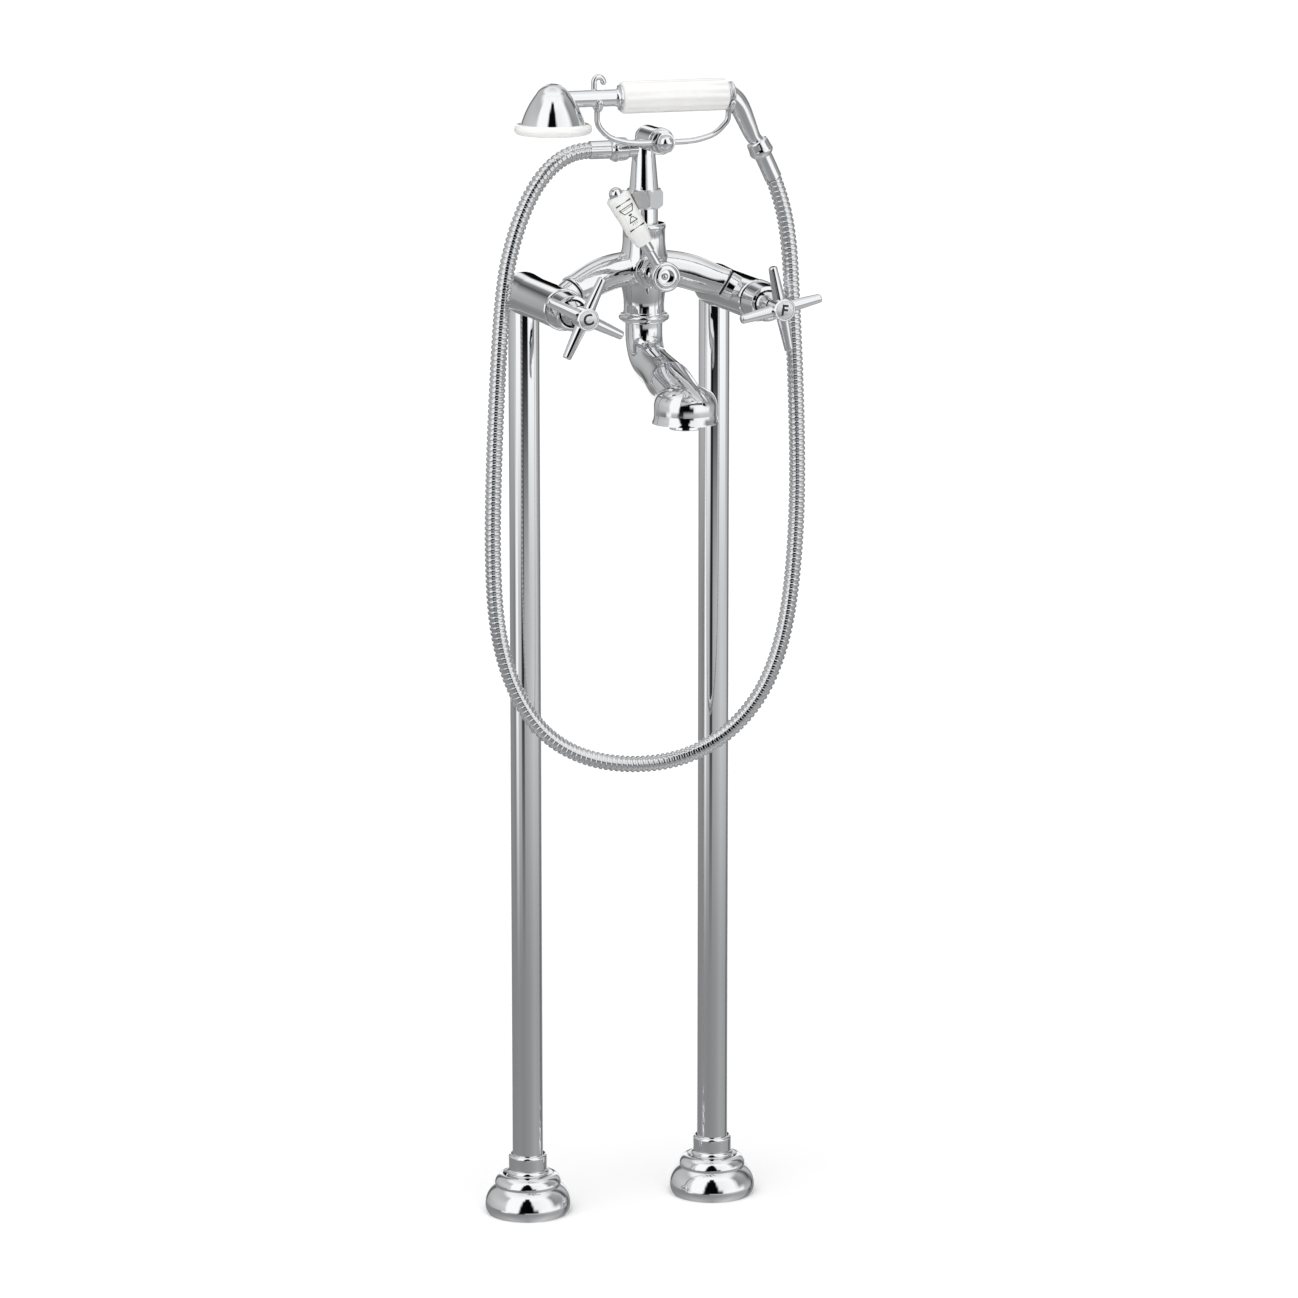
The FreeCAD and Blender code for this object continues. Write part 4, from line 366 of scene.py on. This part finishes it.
body_of = {node: body for body, nodes in frame["record"]["behaviour"]["bodies"].items() for node in nodes}
WELD_REACH = 0.002    # joins the loose triangles of a solid's mesh


def dress(node, material, crease=30.0, turned_on=None, turned_by=0.0):
    """A merged copy of a solid, smooth between its creases, that rides on its body and stands for it."""
    mesh = frame["nodes"][node].data.copy()
    if "custom_normal" in mesh.attributes:
        mesh.attributes.remove(mesh.attributes["custom_normal"])
    shell = bmesh.new()
    shell.from_mesh(mesh)
    bmesh.ops.remove_doubles(shell, verts=shell.verts, dist=WELD_REACH * MM)
    if turned_on:
        bmesh.ops.rotate(shell, verts=shell.verts, cent=turned_on, matrix=Matrix.Rotation(turned_by, 3, "Z"))
    for face in shell.faces:
        face.smooth = True
    for edge in shell.edges:
        edge.smooth = len(edge.link_faces) == 2 and edge.calc_face_angle() < math.radians(crease)
    shell.to_mesh(mesh)
    shell.free()
    mesh.materials.clear()
    mesh.materials.append(material)
    piece = bpy.data.objects.new(node + "_finished", mesh)
    scene.collection.objects.link(piece)
    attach(piece, body_of[node])
    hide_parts(node)
    return piece


# The two crimped sleeves are turned from brass tube and plated bright: the cutter leaves a true surface, so
# reflections run straight along them. So do those of every turned piece below.
turned_chrome = chrome_plate("turned_chrome", "E8E9EB", 0.03, 9.0, 0.002, 4.0)
hose_sleeves = [dress(node, turned_chrome) for node in ("outlet_hose_ferrule", "handset_hose_ferrule")]
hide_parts("shower_hose")
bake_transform(hose)

# ---- Hose nuts -------------------------------------------------------------------------------------
# Round union nuts of turned brass, plated bright. They slide on the hose's sleeves, and one screws on the
# tee and the other on the handset's tail.

for node in ("outlet_hose_nut", "handset_hose_nut"):
    dress(node, turned_chrome)

# ---- Feet -------------------------------------------------------------------------------------------
# A spun brass bell with two lobes slides down each leg over its floor fixing, and a clamped collar with a
# grub screw at the back keeps it down. The fixing plates and screws under the bells are plain.

# Spun brass keeps wide soft waves from the roller under its plating.
spun_chrome = chrome_plate("spun_chrome", "E6E7E9", 0.035, 16.0, 0.006, 8.0)
for name in ("hot", "cold"):
    dress(name + "_floor_flange", spun_chrome, 24.0)
    dress(name + "_flange_collar", turned_chrome)

# Stainless screws are tumbled, not polished: a grey satin with a fine grain.
screw_steel = chrome_plate("stainless_screw", "B4B6B8", 0.25, 2.0, 0.004, 1.0)
for node in ("collar_grub_screws", "floor_anchor_screws", "floor_fixing_plates"):
    dress(node, screw_steel)

# ---- Legs -------------------------------------------------------------------------------------------
# Two 28 mm drawn brass tubes, each in two lengths on a hidden sleeve with O-rings; only a hairline shows
# where the lengths meet. Drawn tube is straighter than a casting, so its waves are long and very shallow.

# Drawn brass tube, ground lengthwise and plated.
drawn_chrome = chrome_plate("drawn_chrome", "E6E7E9", 0.03, 60.0, 0.010, 14.0)
for name in ("hot", "cold"):
    for length in ("_lower_leg", "_upper_leg"):
        dress(name + length, drawn_chrome)

# ---- Valve castings, bonnets and cross handles -------------------------------------------------------
# A brass casting sits on each leg and turns the water to the front, with a screwed bonnet over the
# cartridge. The cross handle's arms taper to flat ends, and a screw hides under its index disc.

# Cast brass, ground and buffed by hand: the plating's waves are short, and deeper than on turned pieces.
cast_chrome = chrome_plate("cast_chrome", "E5E6E8", 0.035, 12.0, 0.012, 6.0)
for name in ("hot", "cold"):
    dress(name + "_valve_body", cast_chrome)
    dress(name + "_bonnet", turned_chrome)
    dress(name + "_handle", cast_chrome)
    dress(name + "_handle_screw", screw_steel)

# The discs are satin chrome with one engraved letter in black enamel: C on the left, F on the right.
LETTER_SIZE = 13.248    # of the font's body; a capital stands about 9.6 mm high
LETTER_DEPTH = 0.12
LETTER_BOLDNESS = 0.35
satin_disc = chrome_plate("satin_disc", "D8D9DB", 0.22, 3.0, 0.004, 1.2)
letter_ink, tree, place = new_material("black_enamel_fill")
specks = add(tree, "TexNoise", {"Vector": place, "Scale": 1500.0})
tone = add(tree, "Mix", {0: specks.outputs[0], 6: linear("0C0C0D"), 7: linear("1B1B1D")}, data_type="RGBA")
ink = add(tree, "BsdfPrincipled", {"Base Color": tone.outputs[2], "Roughness": 0.35})
add(tree, "OutputMaterial", {"Surface": ink.outputs[0]})
for name, letter, slant in (("hot", "C", -14.0), ("cold", "F", 9.0)):
    disc = name + "_index_disc"
    dress(disc, satin_disc)
    low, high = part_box(disc)
    text = bpy.data.curves.new(disc + "_letter", "FONT")
    text.body = letter
    text.size = LETTER_SIZE * MM
    text.offset = LETTER_BOLDNESS * MM
    text.extrude = LETTER_DEPTH * MM
    text.align_x = "CENTER"
    text.align_y = "CENTER"
    text_object = bpy.data.objects.new(disc + "_letter", text)
    letter_mesh = bpy.data.meshes.new_from_object(text_object)
    bpy.data.objects.remove(text_object)
    width = [v.co.x for v in letter_mesh.vertices]
    height = [v.co.y for v in letter_mesh.vertices]
    centring = Matrix.Translation((-(min(width) + max(width)) / 2, -(min(height) + max(height)) / 2, 0))
    upright = Matrix.Rotation(math.radians(slant), 4, "Y") @ Matrix.Rotation(math.radians(90.0), 4, "X")
    spot = Vector(((low[0] + high[0]) / 2, low[1] + LETTER_DEPTH / 2 * MM, (low[2] + high[2]) / 2))
    letter_mesh.transform(Matrix.Translation(spot) @ upright @ centring)
    letter_mesh.materials.clear()
    letter_mesh.materials.append(letter_ink)
    letter_piece = bpy.data.objects.new(name + "_index_letter", letter_mesh)
    scene.collection.objects.link(letter_piece)
    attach(letter_piece, body_of[disc])

# ---- Mixer arch --------------------------------------------------------------------------------------
# One arched casting joins the two valves: the socket of the riser on top, the spout's neck below and the
# diverter's boss in front. It is ground and buffed by hand, so its reflections wander a little.

dress("mixer_body", cast_chrome, 28.0)

# ---- Diverter ----------------------------------------------------------------------------------------
# A hexagon bonnet screwed in the arch's boss, a turned hub with a dished face and a screw in it, and a stem
# that carries the lever. The hub's copy gets the full rim that the solid lacks.

HUB_HEIGHT = 876.0
HUB_SIDES = 64
HUB_RIM = [(9.8, -114.2), (12.4, -113.8), (13.2, -114.6), (13.4, -124.0), (12.9, -126.0), (11.6, -126.9),
           (10.4, -126.6), (9.8, -125.4)]

for node in ("diverter_bonnet", "diverter_hub_screw", "diverter_lever_cap"):
    dress(node, turned_chrome)
hub = dress("diverter_hub", turned_chrome)
bm = bmesh.new()
spin_round(bm, [(radius * MM, along * MM, HUB_HEIGHT * MM) for radius, along in HUB_RIM],
           Vector((0, 0, HUB_HEIGHT * MM)), "Y", HUB_SIDES, closed=True)
bmesh.ops.recalc_face_normals(bm, faces=bm.faces)
for face in bm.faces:
    face.smooth = True
bm.from_mesh(hub.data)
bm.to_mesh(hub.data)
bm.free()


def glazed_porcelain(name, colour, shadow, crawl_mm):
    """White body under a thick clear glaze, which rounds every edge and pools a little unevenly."""
    made, tree, place = new_material(name)
    pool = add(tree, "TexNoise", {"Vector": place, "Scale": 1.0 / (crawl_mm * MM), "Detail": 2.0})
    tone = add(tree, "Mix", {0: pool.outputs[0], 6: linear(colour), 7: linear(shadow)}, data_type="RGBA")
    bump = add(tree, "Bump", {"Height": pool.outputs[0], "Distance": 0.06 * MM, "Strength": 0.5})
    glaze = add(tree, "BsdfPrincipled", {"Base Color": tone.outputs[2], "Roughness": 0.16, "IOR": 1.52,
                                         "Coat Weight": 0.5, "Coat Roughness": 0.04,
                                         "Subsurface Weight": 0.12, "Subsurface Scale": 2.0 * MM,
                                         "Normal": bump.outputs[0]})
    add(tree, "OutputMaterial", {"Surface": glaze.outputs[0]})
    return made


# The lever's sleeve is white porcelain with a transfer print fired on its face: a bath, a shower and two
# broken rules, all plain strokes.
white_porcelain = glazed_porcelain("white_porcelain", "F2F2F0", "E9E9E7", 12.0)
dress("diverter_lever_grip", white_porcelain, 50.0)

LEVER_LEAN = math.radians(-31.0)
PRINT_DEPTH = 0.14
PRINT_SUNK = 0.35
PRINT_STROKES = [    # from, to (across and up the lever) and width
    ((-7.4, 77.5), (-3.6, 77.5), 1.1), ((-3.6, 77.5), (3.4, 77.5), 0.4), ((3.4, 77.5), (7.2, 77.5), 1.1),
    ((-6.8, 73.2), (6.8, 73.2), 0.7), ((-6.8, 73.2), (-3.9, 67.9), 0.7), ((6.8, 73.2), (3.9, 67.9), 0.7),
    ((-3.9, 67.9), (3.9, 67.9), 0.7), ((-5.4, 71.6), (5.4, 71.6), 0.4),
    ((-1.2, 65.4), (1.2, 65.4), 1.3), ((0.0, 65.4), (0.0, 62.8), 0.8), ((-1.4, 62.9), (1.4, 62.9), 0.6),
    ((-1.4, 62.9), (-3.7, 58.9), 0.7), ((1.4, 62.9), (3.7, 58.9), 0.7), ((-3.7, 58.9), (3.7, 58.9), 0.9),
    ((-1.9, 57.6), (-2.2, 55.8), 0.4), ((0.0, 57.6), (0.0, 55.6), 0.4), ((1.9, 57.6), (2.2, 55.8), 0.4),
    ((-7.4, 52.6), (-3.6, 52.6), 1.1), ((-3.6, 52.6), (3.4, 52.6), 0.4), ((3.4, 52.6), (7.2, 52.6), 1.1),
]
print_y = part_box("diverter_lever_grip")[0][1] + PRINT_SUNK * PRINT_DEPTH * MM
lean = Matrix.Translation((0, print_y, HUB_HEIGHT * MM)) @ Matrix.Rotation(LEVER_LEAN, 4, "Y")
bm = bmesh.new()
for start, end, width in PRINT_STROKES:
    a = Vector((start[0], 0, start[1])) * MM
    b = Vector((end[0], 0, end[1])) * MM
    run = b - a
    slope = Matrix.Rotation(-math.atan2(run.z, run.x), 4, "Y")
    size = Matrix.Diagonal((run.length + width * 0.5 * MM, PRINT_DEPTH * MM, width * MM, 1.0))
    bmesh.ops.create_cube(bm, size=1.0, matrix=lean @ Matrix.Translation((a + b) / 2) @ slope @ size)
bmesh.ops.recalc_face_normals(bm, faces=bm.faces)
print_mesh = bpy.data.meshes.new("lever_print")
bm.to_mesh(print_mesh)
bm.free()
print_mesh.materials.append(letter_ink)
lever_print = bpy.data.objects.new("lever_print", print_mesh)
scene.collection.objects.link(lever_print)
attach(lever_print, "diverter_lever")

# ---- Spout -------------------------------------------------------------------------------------------
# A cast swan spout that turns on O-rings under a beaded ring, and widens to a bell at its end. The aerator's
# ring screws up into the bell and holds a plastic insert.

dress("spout_swivel_ring", turned_chrome)
dress("spout", cast_chrome, 28.0)
dress("aerator_housing", turned_chrome)

# Acetal resin, injection moulded: pale and satin, with faint flow marks a few millimetres long.
acetal, tree, place = new_material("moulded_acetal")
flow = add(tree, "TexNoise", {"Vector": place, "Scale": 400.0, "Detail": 3.0})
tone = add(tree, "Mix", {0: flow.outputs[0], 6: linear("C9CBCD"), 7: linear("B9BBBE")}, data_type="RGBA")
resin = add(tree, "BsdfPrincipled", {"Base Color": tone.outputs[2], "Roughness": 0.45})
add(tree, "OutputMaterial", {"Surface": resin.outputs[0]})
dress("aerator_insert", acetal)

# ---- Riser and tee -----------------------------------------------------------------------------------
# A short pipe, a hexagon union nut and the tapered tee that feeds the hose and carries the cradle. The nut
# is turned to show a corner to the front, as it was tightened.

RISER_Y = -66.0
UNION_NUT_TURN = math.radians(30.0)

for node in ("riser_tail", "riser_tee"):
    dress(node, turned_chrome)
dress("riser_union_nut", turned_chrome, turned_on=(0, RISER_Y * MM, 0), turned_by=UNION_NUT_TURN)

# ---- Cradle ------------------------------------------------------------------------------------------
# A bow of 5 mm rod with a flat eye at its middle, bent up into two open forks and curled over behind the
# handset's neck. A domed nut clamps it to the tee.

for node in ("cradle_bow", "cradle_cap_nut", "cradle_bolt"):
    dress(node, turned_chrome, 34.0)

# ---- Handset -----------------------------------------------------------------------------------------
# A spun dome over a perforated plate, held by a white rim; a turned neck; a fluted porcelain sleeve; and
# a bent tail that the hose hangs from.

dress("rose_shell", spun_chrome, 34.0)
dress("handset_tube", turned_chrome)
dress("handset_tail", cast_chrome)
dress("spray_plate", screw_steel)
dress("rose_rim", white_porcelain, 40.0)
dress("handset_grip", white_porcelain, 50.0)

# ---- Pieces inside -----------------------------------------------------------------------------------
# Cartridges, spindles, sleeves and the lever's rod of plain turned brass, and black nitrile seals where two
# pieces meet in the water's way. All are out of sight once the filler is put together.

# Turned brass as it leaves the lathe: warm yellow, with fine tool marks.
raw_brass = chrome_plate("turned_brass", "C9A35C", 0.28, 3.0, 0.006, 2.0)
for node in ("hot_cartridge", "cold_cartridge", "diverter_cartridge", "leg_joint_nipples", "hot_spindle",
             "cold_spindle", "diverter_spindle", "diverter_lever_rod"):
    dress(node, raw_brass)

# Nitrile rubber, pressed in a mould: near black and matt, with a dusty bloom.
nitrile, tree, place = new_material("nitrile_rubber")
bloom = add(tree, "TexNoise", {"Vector": place, "Scale": 700.0, "Detail": 3.0})
tone = add(tree, "Mix", {0: bloom.outputs[0], 6: linear("161617"), 7: linear("232325")}, data_type="RGBA")
rubber = add(tree, "BsdfPrincipled", {"Base Color": tone.outputs[2], "Roughness": 0.7})
add(tree, "OutputMaterial", {"Surface": rubber.outputs[0]})
for node in ("leg_joint_o_rings", "arm_union_washers", "spout_o_rings", "riser_washer"):
    dress(node, nitrile)
